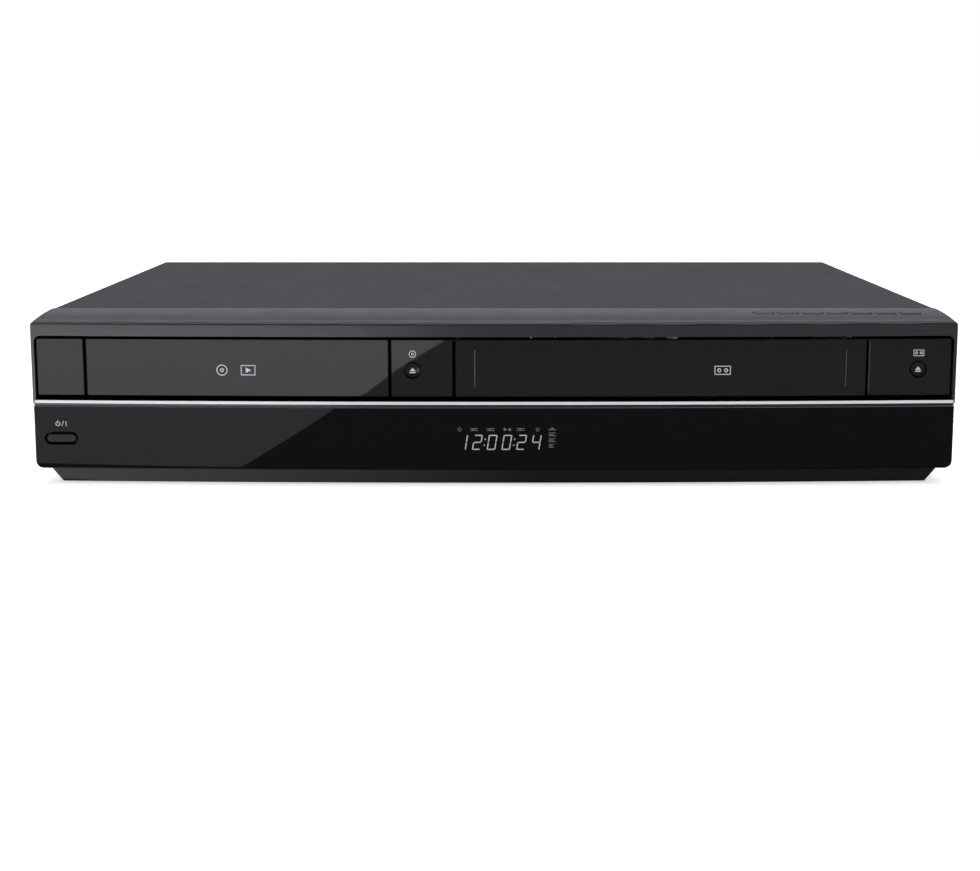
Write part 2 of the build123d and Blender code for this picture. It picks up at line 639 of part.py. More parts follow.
def loader_frame():
    """The disc drive's frame: floor, walls, tray guides, hinge ears for the traverse and four legs."""
    x0, x1 = DISC_X - 71, DISC_X + 71
    frame = block(x0, x1, -160, 52, 33, 64) - block(x0 + 3, x1 - 3, -157, 49, 35, 70)
    frame -= block(x0 + 3, x1 - 3, -170, -150, 45.5, 70)
    frame -= block(DISC_X - 47, DISC_X + 47, -128, -12, 30, 40)
    for side in (-1, 1):
        inner, outer = DISC_X + side * 65.6, DISC_X + side * 68.4
        low, high = min(inner, outer), max(inner, outer)
        frame += block(low, high, -155, 49.5, 50.2, 53.6)
        frame += block(low, high, -155, 49.5, 57.4, 60)
        ear = block(DISC_X + side * 49 - 1.8, DISC_X + side * 49 + 1.8, -26, -10, 34, 50)
        frame += ear - rod_x(TRAVERSE_PIVOT_Y, TRAVERSE_PIVOT_Z, DISC_X - 60, DISC_X + 60, 2 + CLEAR)
        for y in (-150, 44):
            frame += rod_z(DISC_X + side * 62, y, CASE_BOTTOM, 34, 4.5)
    frame += rod_z(GEAR_X, GEAR_Y, 34, 51, 2) + rod_z(GEAR_X, GEAR_Y, 34, 38.9, 4)
    return frame - rod_z(MOTOR_X, MOTOR_Y, 30, 40, 3)


def gear_tooth_angle(radius):
    """Half of a tooth's angle at a radius, on an involute of twenty degrees."""
    pitch = GEAR_MODULE * GEAR_TEETH / 2
    base = pitch * cos(radians(20))
    pressure = acos(min(1.0, base / radius))
    half = (pi * GEAR_MODULE / 2 - BACKLASH) / 2 / pitch
    return half + tan(radians(20)) - radians(20) - tan(pressure) + pressure


def tray_gear():
    """The gear that drives the tray's rack, with the belt pulley under it."""
    pitch = GEAR_MODULE * GEAR_TEETH / 2
    root, tip = pitch - 1.25 * GEAR_MODULE, pitch + 0.95 * GEAR_MODULE
    radii = [root, pitch - 0.6, pitch, pitch + 0.5, tip]
    outline = []
    for tooth in range(GEAR_TEETH):
        middle = 2 * pi * tooth / GEAR_TEETH
        flank = [(radius, gear_tooth_angle(max(radius, pitch * 0.945))) for radius in radii]
        for radius, half in flank:
            outline.append((radius * cos(middle - half), radius * sin(middle - half)))
        for radius, half in reversed(flank):
            outline.append((radius * cos(middle + half), radius * sin(middle + half)))
    wheel = extrude(make_face(Polyline(*outline, close=True)), amount=4)
    gear = Pos(GEAR_X, GEAR_Y, 47.2) * wheel + rod_z(GEAR_X, GEAR_Y, 39, 47.4, 5)
    for z in (39, 42.6):
        gear += rod_z(GEAR_X, GEAR_Y, z, z + 0.6, 9.6)
    gear += rod_z(GEAR_X, GEAR_Y, 39.4, 42.8, 8.6)
    return gear - rod_z(GEAR_X, GEAR_Y, 30, 60, 2 + CLEAR)


def tray_motor():
    """The small motor that drives the tray, hung under the loader's floor, with its pulley."""
    motor = rod_z(MOTOR_X, MOTOR_Y, 15, 33, 10) + rod_z(MOTOR_X, MOTOR_Y, 33, 43, 1)
    return motor + rod_z(MOTOR_X, MOTOR_Y, 39.6, 42.6, 3)


def belt_loop(extra):
    """The area inside a belt round the motor's pulley and the gear's pulley, a little outside both."""
    small = Pos(MOTOR_X, MOTOR_Y) * Circle(3 + extra)
    large = Pos(GEAR_X, GEAR_Y) * Circle(8.6 + extra)
    return make_hull(small.edges() + large.edges())


def tray_belt():
    """The flat drive belt of the tray."""
    return Pos(0, 0, 40.3) * extrude(belt_loop(0.9) - belt_loop(0.08), amount=1.8)


def disc_tray():
    """The disc tray: rims, stepped disc wells, a keyhole for the turntable and pickup, and its rack."""
    x0, x1 = DISC_X - TRAY_HALF, DISC_X + TRAY_HALF
    tray = block(x0, x1, TRAY_FRONT, TRAY_REAR, TRAY_UNDER, TRAY_TOP)
    tray = fillet(tray.edges().filter_by(Axis.Z), 3)
    tray -= rod_z(DISC_X, DISC_Y, 57.4, 70, 60.8)
    tray -= rod_z(DISC_X, DISC_Y, 56.0, 70, 40.8)
    for angle in (45, 135, 225, 315):
        x, y = DISC_X + 62 * cos(radians(angle)), DISC_Y + 62 * sin(radians(angle))
        tray -= rod_z(x, y, 56.4, 70, 10)
    tray -= block(x0 + 3, x1 - 3, TRAY_FRONT + 3, TRAY_REAR - 3, 40, 54)
    tray -= rod_z(DISC_X, DISC_Y, 40, 70, 22)
    tray -= block(DISC_X - 18, DISC_X + 18, DISC_Y, -40, 40, 70)
    for side in (-1, 1):
        inner, outer = DISC_X + side * (TRAY_HALF - 1), DISC_X + side * 67.6
        tray += block(min(inner, outer), max(inner, outer), TRAY_FRONT + 8, TRAY_REAR, 54, 57)
    pitch_x = GEAR_X + GEAR_MODULE * GEAR_TEETH / 2
    step = pi * GEAR_MODULE
    rack = block(pitch_x + 1.2, pitch_x + 5, -158, TRAY_REAR - 3.5, 47, 54.2)
    tray += rack
    half_pitch = (step / 2 - BACKLASH) / 2
    slope = tan(radians(20))
    for number in range(-5, 46):
        y = GEAR_Y + (number + 0.5) * step
        tooth = Polyline(
            (pitch_x + 1.3, y - half_pitch - 1.3 * slope),
            (pitch_x - 0.9, y - half_pitch + 0.9 * slope),
            (pitch_x - 0.9, y + half_pitch - 0.9 * slope),
            (pitch_x + 1.3, y + half_pitch + 1.3 * slope),
            close=True,
        )
        tray += Pos(0, 0, 47) * extrude(make_face(tooth), amount=4.6)
    return tray


def clamp_bridge():
    """The steel bridge over the tray that carries the clamper."""
    bridge = block(DISC_X - 71, DISC_X + 71, DISC_Y - 19, DISC_Y + 19, 64, 65)
    bridge -= rod_z(DISC_X, DISC_Y, 60, 70, 13.2)
    for side in (-1, 1):
        bridge -= block(DISC_X + side * 42 - 14, DISC_X + side * 42 + 14, DISC_Y - 12, DISC_Y + 12, 60, 70)
        bridge += rod_z(DISC_X + side * 69.4, DISC_Y + 14, 64.5, 66.4, 2.6)
    return bridge


def disc_clamper():
    """The round clamper that hangs in the bridge, hollow in the middle for the turntable's cone."""
    clamper = rod_z(DISC_X, DISC_Y, 61, 62.8, 15.4) + rod_z(DISC_X, DISC_Y, 62.6, 65.4, 12.6)
    clamper += rod_z(DISC_X, DISC_Y, 65.2, 67, 16)
    return clamper - rod_z(DISC_X, DISC_Y, 60, 64.8, 8.6)


def lowered(shape):
    """Turns a piece of the traverse down about its rear pivot to where it rests."""
    pivot = Axis((0, TRAVERSE_PIVOT_Y, TRAVERSE_PIVOT_Z), (1, 0, 0))
    return shape.rotate(pivot, TRAVERSE_REST_TILT)


def traverse_chassis():
    """The tipping plate that carries the turntable and pickup, with its two rails and pivot pins."""
    plate = block(DISC_X - 41, DISC_X + 41, -124, -10, 44, 46)
    plate -= block(DISC_X - 28, DISC_X + 28, -90, -26, 40, 50)
    plate += rod_z(DISC_X, DISC_Y, 37, 44.2, 13) + rod_z(DISC_X, DISC_Y, 45, 49, 4)
    plate -= rod_z(DISC_X, DISC_Y, 40, 60, 1.5 + CLEAR)
    for side in (-1, 1):
        plate += rod_y(DISC_X + side * 24, 48.5, -94, -22, 1.5)
        for y in (-93, -23):
            plate += block(DISC_X + side * 24 - 3, DISC_X + side * 24 + 3, y - 2, y + 2, 45.5, 51)
        near, far = DISC_X + side * 40, DISC_X + side * 50.8
        plate += rod_x(TRAVERSE_PIVOT_Y, TRAVERSE_PIVOT_Z, min(near, far), max(near, far), 2)
    return lowered(plate)


def turntable():
    """The turntable: spindle, rubber-faced seat and centring cone."""
    table = rod_z(DISC_X, DISC_Y, 42, 56, 1.5) + rod_z(DISC_X, DISC_Y, 49.5, 56, 9)
    table += rod_z(DISC_X, DISC_Y, 55.5, 58, 14.5)
    table += Pos(DISC_X, DISC_Y, 59) * Cone(7.4, 5.6, 2)
    return lowered(table)


def optical_pickup():
    """The pickup: a body on the two rails with its lens in a round guard."""
    y = DISC_Y + 26
    body = block(DISC_X - 20, DISC_X + 20, y - 9, y + 9, 46.3, 51.4)
    for side in (-1, 1):
        x = DISC_X + side * 24
        body += block(x - 4.5, x + 4.5, y - 7, y + 7, 46.4, 50.8)
    body += block(DISC_X - 26, DISC_X + 26, y - 5, y + 5, 46.4, 50.8)
    for side in (-1, 1):
        body -= rod_y(DISC_X + side * 24, 48.5, y - 20, y + 20, 1.5 + CLEAR)
    body += rod_z(DISC_X, y, 51, 54, 7) + rod_z(DISC_X, y, 53.5, 55.2, 3.4)
    return lowered(body)


def post_x(side, share):
    """Where a loading post stands, as a share of its travel, left (-1) or right (+1) of the drum."""
    return TAPE_X + side * (POST_START[0] + share * (POST_END[0] - POST_START[0]))


def post_turn(side):
    """The angle of a loading post's track in plan."""
    return degrees(atan2(POST_END[1] - POST_START[1], side * (POST_END[0] - POST_START[0])))


def deck_chassis():
    """The tape deck's steel plate, with its posts, bearing boss, tracks and legs."""
    plate = block(-26, 180, -140, 78, DECK_TOP - DECK_SHEET, DECK_TOP)
    plate -= block(56, 98, -120, -86, 10, 30) + block(4, 26, -30, 20, 10, 30)
    track_length = sqrt((POST_END[0] - POST_START[0]) ** 2 + (POST_END[1] - POST_START[1]) ** 2)
    for side in (-1, 1):
        x, y = post_x(side, 0.5), (POST_START[1] + POST_END[1]) / 2
        track = extrude(SlotOverall(track_length + 5, 4.4), amount=20)
        plate -= Location((x, y, 10), (0, 0, post_turn(side))) * track
        plate += rod_z(TAPE_X + side * REEL_SPACING, REEL_Y, 19, 33.6, 1.5)
    plate += rod_z(CAPSTAN_X, CAPSTAN_Y, 16.6, 25.2, 4.5)
    plate -= rod_z(CAPSTAN_X, CAPSTAN_Y, 10, 40, 1.5 + CLEAR)
    plate += rod_z(PINCH_PIVOT[0], PINCH_PIVOT[1], 19, 47, 2)
    for x, y in ((-20, -134), (174, -134), (-20, 72), (174, 72)):
        plate += rod_z(x, y, CASE_BOTTOM, 19, 4)
    return plate


def carriage_frame():
    """The fixed side plates and rear tie of the cassette carriage, with their long guide slots."""
    frame = block(TAPE_X - 94 - 8, TAPE_X - 94 - 6.8, -146, -2, DECK_TOP, 69.2)
    frame -= block(-40, 0, -116.7, -28.3, 63.4, 66.6)
    frame -= block(-40, 0, -100, -50, 32, 50)
    frame += block(-25, -16, -146, -2, DECK_TOP, DECK_TOP + 1) & block(-25.2, -19, -146, -2, 0, 40)
    frame = mirrored(frame, TAPE_X)
    return frame + block(TAPE_X - 102, TAPE_X + 102, -14, -2, 68, 69.2)


def carriage_slider():
    """The sliding frame of the carriage: two side plates with pins and upright slots, and a tie."""
    side = block(TAPE_X - 98.4, TAPE_X - 97.2, -122, -68, 30, 69.2)
    for y in (-110, -80):
        side -= block(-40, 0, y - 1.6, y + 1.6, 41.6, 61.8)
    for y in (-115, -75):
        side += rod_x(y, 65, TAPE_X - 102.4, TAPE_X - 97.8, 1.5)
    slider = mirrored(side, TAPE_X)
    return slider + block(TAPE_X - 98.4, TAPE_X + 98.4, -84, -72, 68.4, 69.2)


def cassette_holder():
    """The cassette's cradle: side walls with ledges, an open middle and a top plate."""
    half = HOLDER_HALF
    side = block(TAPE_X - half - 1, TAPE_X - half, HOLDER_FRONT, HOLDER_REAR, HOLDER_FLOOR - 0.8, 67.6)
    side += block(TAPE_X - half - 1, TAPE_X - half + 12, HOLDER_FRONT, HOLDER_REAR, HOLDER_FLOOR - 0.8, HOLDER_FLOOR)
    side -= block(TAPE_X - half - 2, TAPE_X - half + 1, HOLDER_FRONT - 1, HOLDER_FRONT + 8.6, HOLDER_FLOOR, 70)
    for y in (-110, -80):
        side += rod_x(y, 60, TAPE_X - half - 4.8, TAPE_X - half - 0.5, 1.5)
    holder = mirrored(side, TAPE_X)
    top = block(TAPE_X - half - 1, TAPE_X + half + 1, -143, HOLDER_REAR, HOLDER_CEILING, 67.6)
    top -= block(TAPE_X - 60, TAPE_X - 12, -125, -66, 60, 70)
    top -= block(TAPE_X + 12, TAPE_X + 60, -125, -66, 60, 70)
    return holder + top


def drum_place(shape):
    """Sets a piece of the head drum on its tilted axis behind the cassette."""
    return Location((TAPE_X, DRUM_Y, 22), (-DRUM_TILT, 0, 0)) * shape


def lower_drum():
    """The fixed lower drum with its base and a guide ledge for the tape."""
    drum = drum_place(Pos(0, 0, 7) * Cylinder(DRUM_RADIUS, 10))
    drum -= drum_place(Pos(0, 0, 12) * Cylinder(26, 6))
    drum += drum_place(Pos(0, 0, 9) * Cylinder(2.5, 10))
    drum += rod_z(TAPE_X, DRUM_Y, DECK_TOP, 27, 22)
    return drum


def upper_drum():
    """The spinning upper drum, with head windows and a hub."""
    drum = Pos(0, 0, 20.4) * Cylinder(DRUM_RADIUS, 12)
    drum = chamfer(drum.edges().group_by(Axis.Z)[-1], 0.6)
    drum -= Pos(0, 0, 26) * Cylinder(24, 4)
    drum += Pos(0, 0, 25.5) * Cylinder(9, 6)
    for side in (-1, 1):
        drum -= Pos(side * DRUM_RADIUS, 0, 15) * Box(3, 5, 2.4)
    return drum_place(drum)


def reel_table(side):
    """One reel table: a flange, a hub and a six-finned spindle that enters the cassette's reel."""
    x = TAPE_X + side * REEL_SPACING
    table = rod_z(x, REEL_Y, 20.4, 22.4, 19) + rod_z(x, REEL_Y, 22, 26, 8.2) + rod_z(x, REEL_Y, 25, 33, 4.4)
    for number in range(3):
        table += Location((x, REEL_Y, 29), (0, 0, 60 * number)) * Box(12.6, 1.4, 6)
    table -= rod_z(x, REEL_Y, 10, 40, 1.5 + CLEAR)
    return table


def capstan_flywheel():
    """The capstan shaft with the flywheel under the deck."""
    wheel = rod_z(CAPSTAN_X, CAPSTAN_Y, 10.4, 15.6, 24) - rod_z(CAPSTAN_X, CAPSTAN_Y, 13.6, 16, 20)
    return wheel + rod_z(CAPSTAN_X, CAPSTAN_Y, 10.4, 16.4, 5) + rod_z(CAPSTAN_X, CAPSTAN_Y, 10.4, 48, 1.5)


def pinch_arm():
    """The arm that carries the pinch roller over to the capstan."""
    px, py = PINCH_PIVOT
    rx, ry = PINCH_ROLLER
    length = sqrt((px - rx) ** 2 + (py - ry) ** 2)
    turn = degrees(atan2(ry - py, rx - px))
    bar = extrude(SlotCenterToCenter(length, 9), amount=2.4)
    arm = Location(((px + rx) / 2, (py + ry) / 2, 43), (0, 0, turn)) * bar
    arm += rod_z(px, py, 28, 45.4, 4.5) + rod_z(rx, ry, 24, 44, 1.5)
    return arm - rod_z(px, py, 20, 50, 2 + CLEAR)


def pinch_roller():
    """The rubber roller that presses the tape on the capstan."""
    x, y = PINCH_ROLLER
    roller = rod_z(x, y, 26, 42, 6.5)
    return roller - rod_z(x, y, 20, 50, 1.5 + CLEAR)


def loading_post(side):
    """A loading post: its base, guide pin and flanged roller."""
    x, y = post_x(side, 0), POST_START[1]
    base = Location((x, y, DECK_TOP + 1.7), (0, 0, post_turn(side))) * Box(12, 9, 3)
    post = base + rod_z(x, y, 16, 21, 1.8) + rod_z(x, y, 22, 44, 2) + rod_z(x, y, 27, 41, 3)
    return post + rod_z(x, y, 26, 27.2, 4) + rod_z(x, y, 41, 42.2, 4)


def tape_heads():
    """The fixed erase head and the fixed sound head."""
    erase = block(24, 34, -3, 5, DECK_TOP, 26) + block(25.5, 32.5, -1, 4, 26, 40)
    sound = block(117, 127, -12, -4, DECK_TOP, 26) + block(118.5, 125.5, -11, -5, 26, 40)
    return Compound(children=[erase, sound])


PIECES = {
    "front_frame": front_frame,
    "badge_panel": badge_panel,
    "disc_key_panel": disc_key_panel,
    "tape_key_panel": tape_key_panel,
    "lower_fascia": lower_fascia,
    "trim_strip": trim_strip,
    "tray_fascia": tray_fascia,
    "cassette_door": cassette_door,
    "power_button": power_button,
    "top_cover": top_cover,
    "case_screws": case_screws,
    "base_chassis": base_chassis,
    "feet": feet,
    "rear_panel": rear_panel,
    "mains_inlet": mains_inlet,
    "inlet_pins": inlet_pins,
    "jack_block": jack_block,
    "jack_barrels": jack_barrels,
    "tuner_module": tuner_module,
    "fan_frame": fan_frame,
    "fan_rotor": fan_rotor,
    "front_boards": front_boards,
    "tact_switches": tact_switches,
    "display_module": display_module,
    "main_board": main_board,
    "power_board": power_board,
    "transformer": transformer,
    "loader_frame": loader_frame,
    "tray_gear": tray_gear,
    "tray_motor": tray_motor,
    "tray_belt": tray_belt,
    "disc_tray": disc_tray,
    "clamp_bridge": clamp_bridge,
    "disc_clamper": disc_clamper,
    "traverse_chassis": traverse_chassis,
    "turntable": turntable,
    "optical_pickup": optical_pickup,
    "deck_chassis": deck_chassis,
    "carriage_frame": carriage_frame,
    "carriage_slider": carriage_slider,
    "cassette_holder": cassette_holder,
    "lower_drum": lower_drum,
    "upper_drum": upper_drum,
    "capstan_flywheel": capstan_flywheel,
    "pinch_arm": pinch_arm,
    "pinch_roller": pinch_roller,
    "tape_heads": tape_heads,
}


def main():
    """Builds every piece and writes it under its own name."""
    os.makedirs("parts", exist_ok=True)
    pieces = {name: build() for name, build in PIECES.items()}
    pieces["disc_eject_button"] = eject_button(DISC_KEY_X)
    pieces["tape_eject_button"] = eject_button(TAPE_KEY_X)
    for number in range(TOP_KEY_COUNT):
        pieces[f"top_key_{number + 1}"] = top_key(number)
    pieces["reel_table_left"] = reel_table(-1)
    pieces["reel_table_right"] = reel_table(1)
    pieces["loading_post_left"] = loading_post(-1)
    pieces["loading_post_right"] = loading_post(1)
    for name, piece in pieces.items():
        export_step(piece, f"parts/{name}.step")


main()
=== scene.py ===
"""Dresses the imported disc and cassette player: finishes, printed marks, clock digits, studio and camera."""

import logging
import math
from dataclasses import dataclass, field
from enum import Enum

import bmesh
import bpy
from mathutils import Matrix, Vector


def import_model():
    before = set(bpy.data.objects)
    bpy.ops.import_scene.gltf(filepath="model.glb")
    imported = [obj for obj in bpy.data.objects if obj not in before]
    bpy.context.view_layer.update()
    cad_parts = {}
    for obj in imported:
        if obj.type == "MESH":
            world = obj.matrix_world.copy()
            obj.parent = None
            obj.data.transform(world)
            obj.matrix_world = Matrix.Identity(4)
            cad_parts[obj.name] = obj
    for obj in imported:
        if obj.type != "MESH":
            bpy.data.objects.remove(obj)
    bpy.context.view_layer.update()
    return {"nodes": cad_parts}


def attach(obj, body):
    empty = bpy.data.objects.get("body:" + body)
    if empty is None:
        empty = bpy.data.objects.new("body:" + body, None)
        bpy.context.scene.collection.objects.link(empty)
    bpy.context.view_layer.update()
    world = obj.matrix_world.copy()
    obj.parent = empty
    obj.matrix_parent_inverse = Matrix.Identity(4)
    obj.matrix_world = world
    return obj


LOG = logging.getLogger("player")

# Lengths are in millimetres unless a docstring says otherwise. NOWHERE is higher and further right than any piece.
MM = 0.001
METRE = 1000.0
MICRONS = 1e6
WELD_MM = 1e-4
NOWHERE = 1000.0


class Slot(Enum):
    """The record's material slots, named alongside each new piece's finish."""

    PRINT = "white_plastic"
    DISPLAY = "display_glass"
    JACK = "grey_plastic"
    PANEL = "gloss_black"


@dataclass(frozen=True)
class Bow:
    """The shallow bow of the front in plan, in millimetres."""

    front_y: float = -177.0
    half_width: float = 215.0
    sagitta: float = 6.0

    @property
    def radius(self) -> float:
        """The radius of the bow."""
        return (self.half_width**2 + self.sagitta**2) / (2 * self.sagitta)

    def y(self, x: float, depth: float) -> float:
        """How far back a surface behind the front lies, at a place across it.

        Args:
            x: The place across the front.
            depth: How deep the surface lies behind the front.

        Returns:
            The surface's y.
        """
        radius = self.radius - depth
        return self.front_y + self.radius - math.sqrt(radius**2 - x**2)

    def behind(self, shader: "Shader", depth: float) -> "Expr":
        """A mask that is one further than a depth behind the front.

        Args:
            shader: The material that the mask is for.
            depth: The depth.

        Returns:
            The mask.
        """
        x, y, _ = shader.axes()
        return (y - (x * x / (2 * self.radius) + self.front_y)).over(depth)

    def slope(self, x: float) -> float:
        """The sine of the surface's turn in plan at x."""
        return x / self.radius


BOW = Bow()


class Expr:
    """A shader value: Python operators on it add Math nodes to its tree."""

    def __init__(self, tree: bpy.types.NodeTree, socket: bpy.types.NodeSocket) -> None:
        """Keeps the tree and the socket that holds the value."""
        self.tree = tree
        self.socket = socket

    def _math(self, operation: str, *operands: object) -> "Expr":
        """Adds one Math node.

        Args:
            operation: The node's operation.
            operands: Numbers or expressions, in the node's order.

        Returns:
            The node's value.
        """
        node = self.tree.nodes.new("ShaderNodeMath")
        node.operation = operation
        for index, operand in enumerate(operands):
            if isinstance(operand, Expr):
                self.tree.links.new(operand.socket, node.inputs[index])
            else:
                node.inputs[index].default_value = float(operand)
        return Expr(self.tree, node.outputs[0])

    def __add__(self, other: object) -> "Expr":
        """Sum."""
        return self._math("ADD", self, other)

    __radd__ = __add__

    def __sub__(self, other: object) -> "Expr":
        """Difference."""
        return self._math("SUBTRACT", self, other)

    def __rsub__(self, other: object) -> "Expr":
        """Difference, reflected."""
        return self._math("SUBTRACT", other, self)

    def __mul__(self, other: object) -> "Expr":
        """Product."""
        return self._math("MULTIPLY", self, other)

    __rmul__ = __mul__

    def __truediv__(self, other: object) -> "Expr":
        """Quotient."""
        return self._math("DIVIDE", self, other)

    def __pow__(self, other: object) -> "Expr":
        """Power."""
        return self._math("POWER", self, other)

    def over(self, limit: float) -> "Expr":
        """One where the value is over a limit, else nought."""
        return self._math("GREATER_THAN", self, limit)

    def under(self, limit: float) -> "Expr":
        """One where the value is under a limit, else nought."""
        return self._math("LESS_THAN", self, limit)

    def sine(self) -> "Expr":
        """Sine, in radians."""
        return self._math("SINE", self)

    def least(self, other: object) -> "Expr":
        """The lower of two."""
        return self._math("MINIMUM", self, other)

    def most(self, other: object) -> "Expr":
        """The higher of two."""
        return self._math("MAXIMUM", self, other)

    def clamped(self) -> "Expr":
        """The value, kept between nought and one."""
        return self.most(0.0).least(1.0)


class Shader:
    """One material's node tree, with short ways to add to it."""

    def __init__(self, name: str) -> None:
        """Makes an empty material that ends in a Principled surface.

        Args:
            name: The material's name.
        """
        self.material = bpy.data.materials.new(name)
        self.material.use_nodes = True
        self.tree = self.material.node_tree
        self.surface = self.tree.nodes["Principled BSDF"]

    @classmethod
    def of(cls, material: bpy.types.Material) -> "Shader":
        """Opens a material that was made before.

        Args:
            material: The material.

        Returns:
            A shader on the material's own tree.
        """
        made = cls.__new__(cls)
        made.material = material
        made.tree = material.node_tree
        made.surface = made.tree.nodes["Principled BSDF"]
        return made

    def node(self, kind: str, settings: dict | None = None, **inputs: object) -> bpy.types.Node:
        """Adds a node of any type.

        Args:
            kind: The node's type name.
            settings: Properties of the node, set before its sockets.
            inputs: Values or links of its sockets, by name with spaces as underscores.

        Returns:
            The node.
        """
        made = self.tree.nodes.new(kind)
        for key, value in (settings or {}).items():
            setattr(made, key, value)
        for key, value in inputs.items():
            self.feed(made.inputs[key.replace("_", " ")], value)
        return made

    def feed(self, socket: bpy.types.NodeSocket, value: object) -> None:
        """Links an expression or a socket to a socket, or sets its value.

        Args:
            socket: The socket that is fed.
            value: An expression, another node's socket, or a plain value.
        """
        if isinstance(value, Expr):
            self.tree.links.new(value.socket, socket)
        elif isinstance(value, bpy.types.NodeSocket):
            self.tree.links.new(value, socket)
        else:
            socket.default_value = value

    def place(self) -> bpy.types.NodeSocket:
        """The point's place on the object, in metres."""
        return self.node("ShaderNodeTexCoord").outputs["Object"]

    def axes(self) -> tuple[Expr, Expr, Expr]:
        """The point's place as three values, in millimetres."""
        split = self.node("ShaderNodeSeparateXYZ", Vector=self.place())
        return tuple(Expr(self.tree, split.outputs[axis]) * METRE for axis in "XYZ")

    def stretched(self, scale: tuple[float, float, float]) -> bpy.types.NodeSocket:
        """The point's place, scaled by axis, so that a pattern is drawn out."""
        return self.node("ShaderNodeMapping", Vector=self.place(), Scale=scale).outputs[0]

    def noise(self, size_mm: float, detail: float = 3.0, along: tuple = (1, 1, 1), seed: float = 0.0) -> Expr:
        """A noise from nought to one.

        Args:
            size_mm: The size of its blotches.
            detail: How many finer layers it has.
            along: How the pattern is squeezed by axis.
            seed: Where in the fourth dimension it is cut.

        Returns:
            The noise's value.
        """
        made = self.node(
            "ShaderNodeTexNoise",
            {"noise_dimensions": "4D"},
            Vector=self.stretched(along),
            W=seed,
            Scale=METRE / size_mm,
            Detail=detail,
        )
        return Expr(self.tree, made.outputs[0])

    def blend(self, factor: object, low: object, high: object) -> bpy.types.NodeSocket:
        """A colour between two colours.

        Args:
            factor: Nought for the first colour, one for the second.
            low: The first colour.
            high: The second colour.

        Returns:
            The mixed colour's socket.
        """
        made = self.node("ShaderNodeMix", {"data_type": "RGBA"})
        self.feed(made.inputs[0], factor)
        self.feed(made.inputs[6], low)
        self.feed(made.inputs[7], high)
        return made.outputs[2]

    def bump(self, height: Expr, depth_mm: float, strength: float = 1.0) -> None:
        """Gives the surface a relief from a height map.

        Args:
            height: The height map.
            depth_mm: The relief's depth.
            strength: How strongly it shows.
        """
        relief = self.node("ShaderNodeBump", Strength=strength, Distance=depth_mm * MM, Height=height)
        self.feed(self.surface.inputs["Normal"], relief.outputs[0])

    @property
    def output(self) -> bpy.types.Node:
        """The node that the surface ends in."""
        return next(node for node in self.tree.nodes if node.type == "OUTPUT_MATERIAL")

    def overlay(self, mask: Expr, surface: bpy.types.Node) -> None:
        """Shows another surface instead of the one so far where a mask is one.

        Args:
            mask: One where the other surface shows, else nought.
            surface: The other surface's shader node.
        """
        below = self.output.inputs["Surface"].links[0].from_socket
        mix = self.node("ShaderNodeMixShader")
        self.feed(mix.inputs[0], mask)
        self.feed(mix.inputs[1], below)
        self.feed(mix.inputs[2], surface.outputs[0])
        self.feed(self.output.inputs["Surface"], mix.outputs[0])

    def paint_shade_black(self, mask: Expr) -> None:
        """Paints matt black shade where a mask is one, standing in for the shade deep in a gap.

        Args:
            mask: One where the painted shade shows, else nought.
        """
        self.overlay(mask, self.node("ShaderNodeBsdfDiffuse", Color=PAINTED_SHADE_BLACK))

    def finish(self, **sockets: object) -> bpy.types.Material:
        """Sets the surface's own sockets.

        Args:
            sockets: Values or links, by socket name with spaces as underscores.

        Returns:
            The material.
        """
        for key, value in sockets.items():
            self.feed(self.surface.inputs[key.replace("_", " ")], value)
        return self.material


def tone(red: float, green: float, blue: float) -> tuple[float, float, float, float]:
    """A colour with full alpha."""
    return (red, green, blue, 1.0)


def shade(colour: tuple[float, float, float], factor: float) -> tuple[float, float, float, float]:
    """A colour made darker or lighter by a factor, with full alpha."""
    return tone(*(part * factor for part in colour))


# A near black for painted shade in gaps and recesses.
PAINTED_SHADE_BLACK = tone(0.003, 0.003, 0.0032)


@dataclass(frozen=True)
class Moulded:
    """A moulded plastic: a fine skin texture, faint flow clouds and light handling marks."""

    name: str
    colour: tuple[float, float, float]
    roughness: float = 0.4
    index: float = 1.4
    grain_mm: float = 0.35
    grain_depth: float = 0.004
    cloud: float = 0.12

    def make(self) -> bpy.types.Material:
        """Builds the material."""
        shader = Shader(self.name)
        clouds = shader.noise(60.0, 4.0)
        grain = shader.noise(self.grain_mm, 2.0, seed=2.0)
        marks = shader.noise(14.0, 6.0, (1, 1, 2.5), 5.0)
        shader.bump(grain, self.grain_depth)
        return shader.finish(
            Base_Color=shader.blend(clouds, shade(self.colour, 1 - self.cloud), shade(self.colour, 1 + self.cloud)),
            Roughness=marks * 0.12 + (self.roughness - 0.06),
            IOR=self.index,
        )


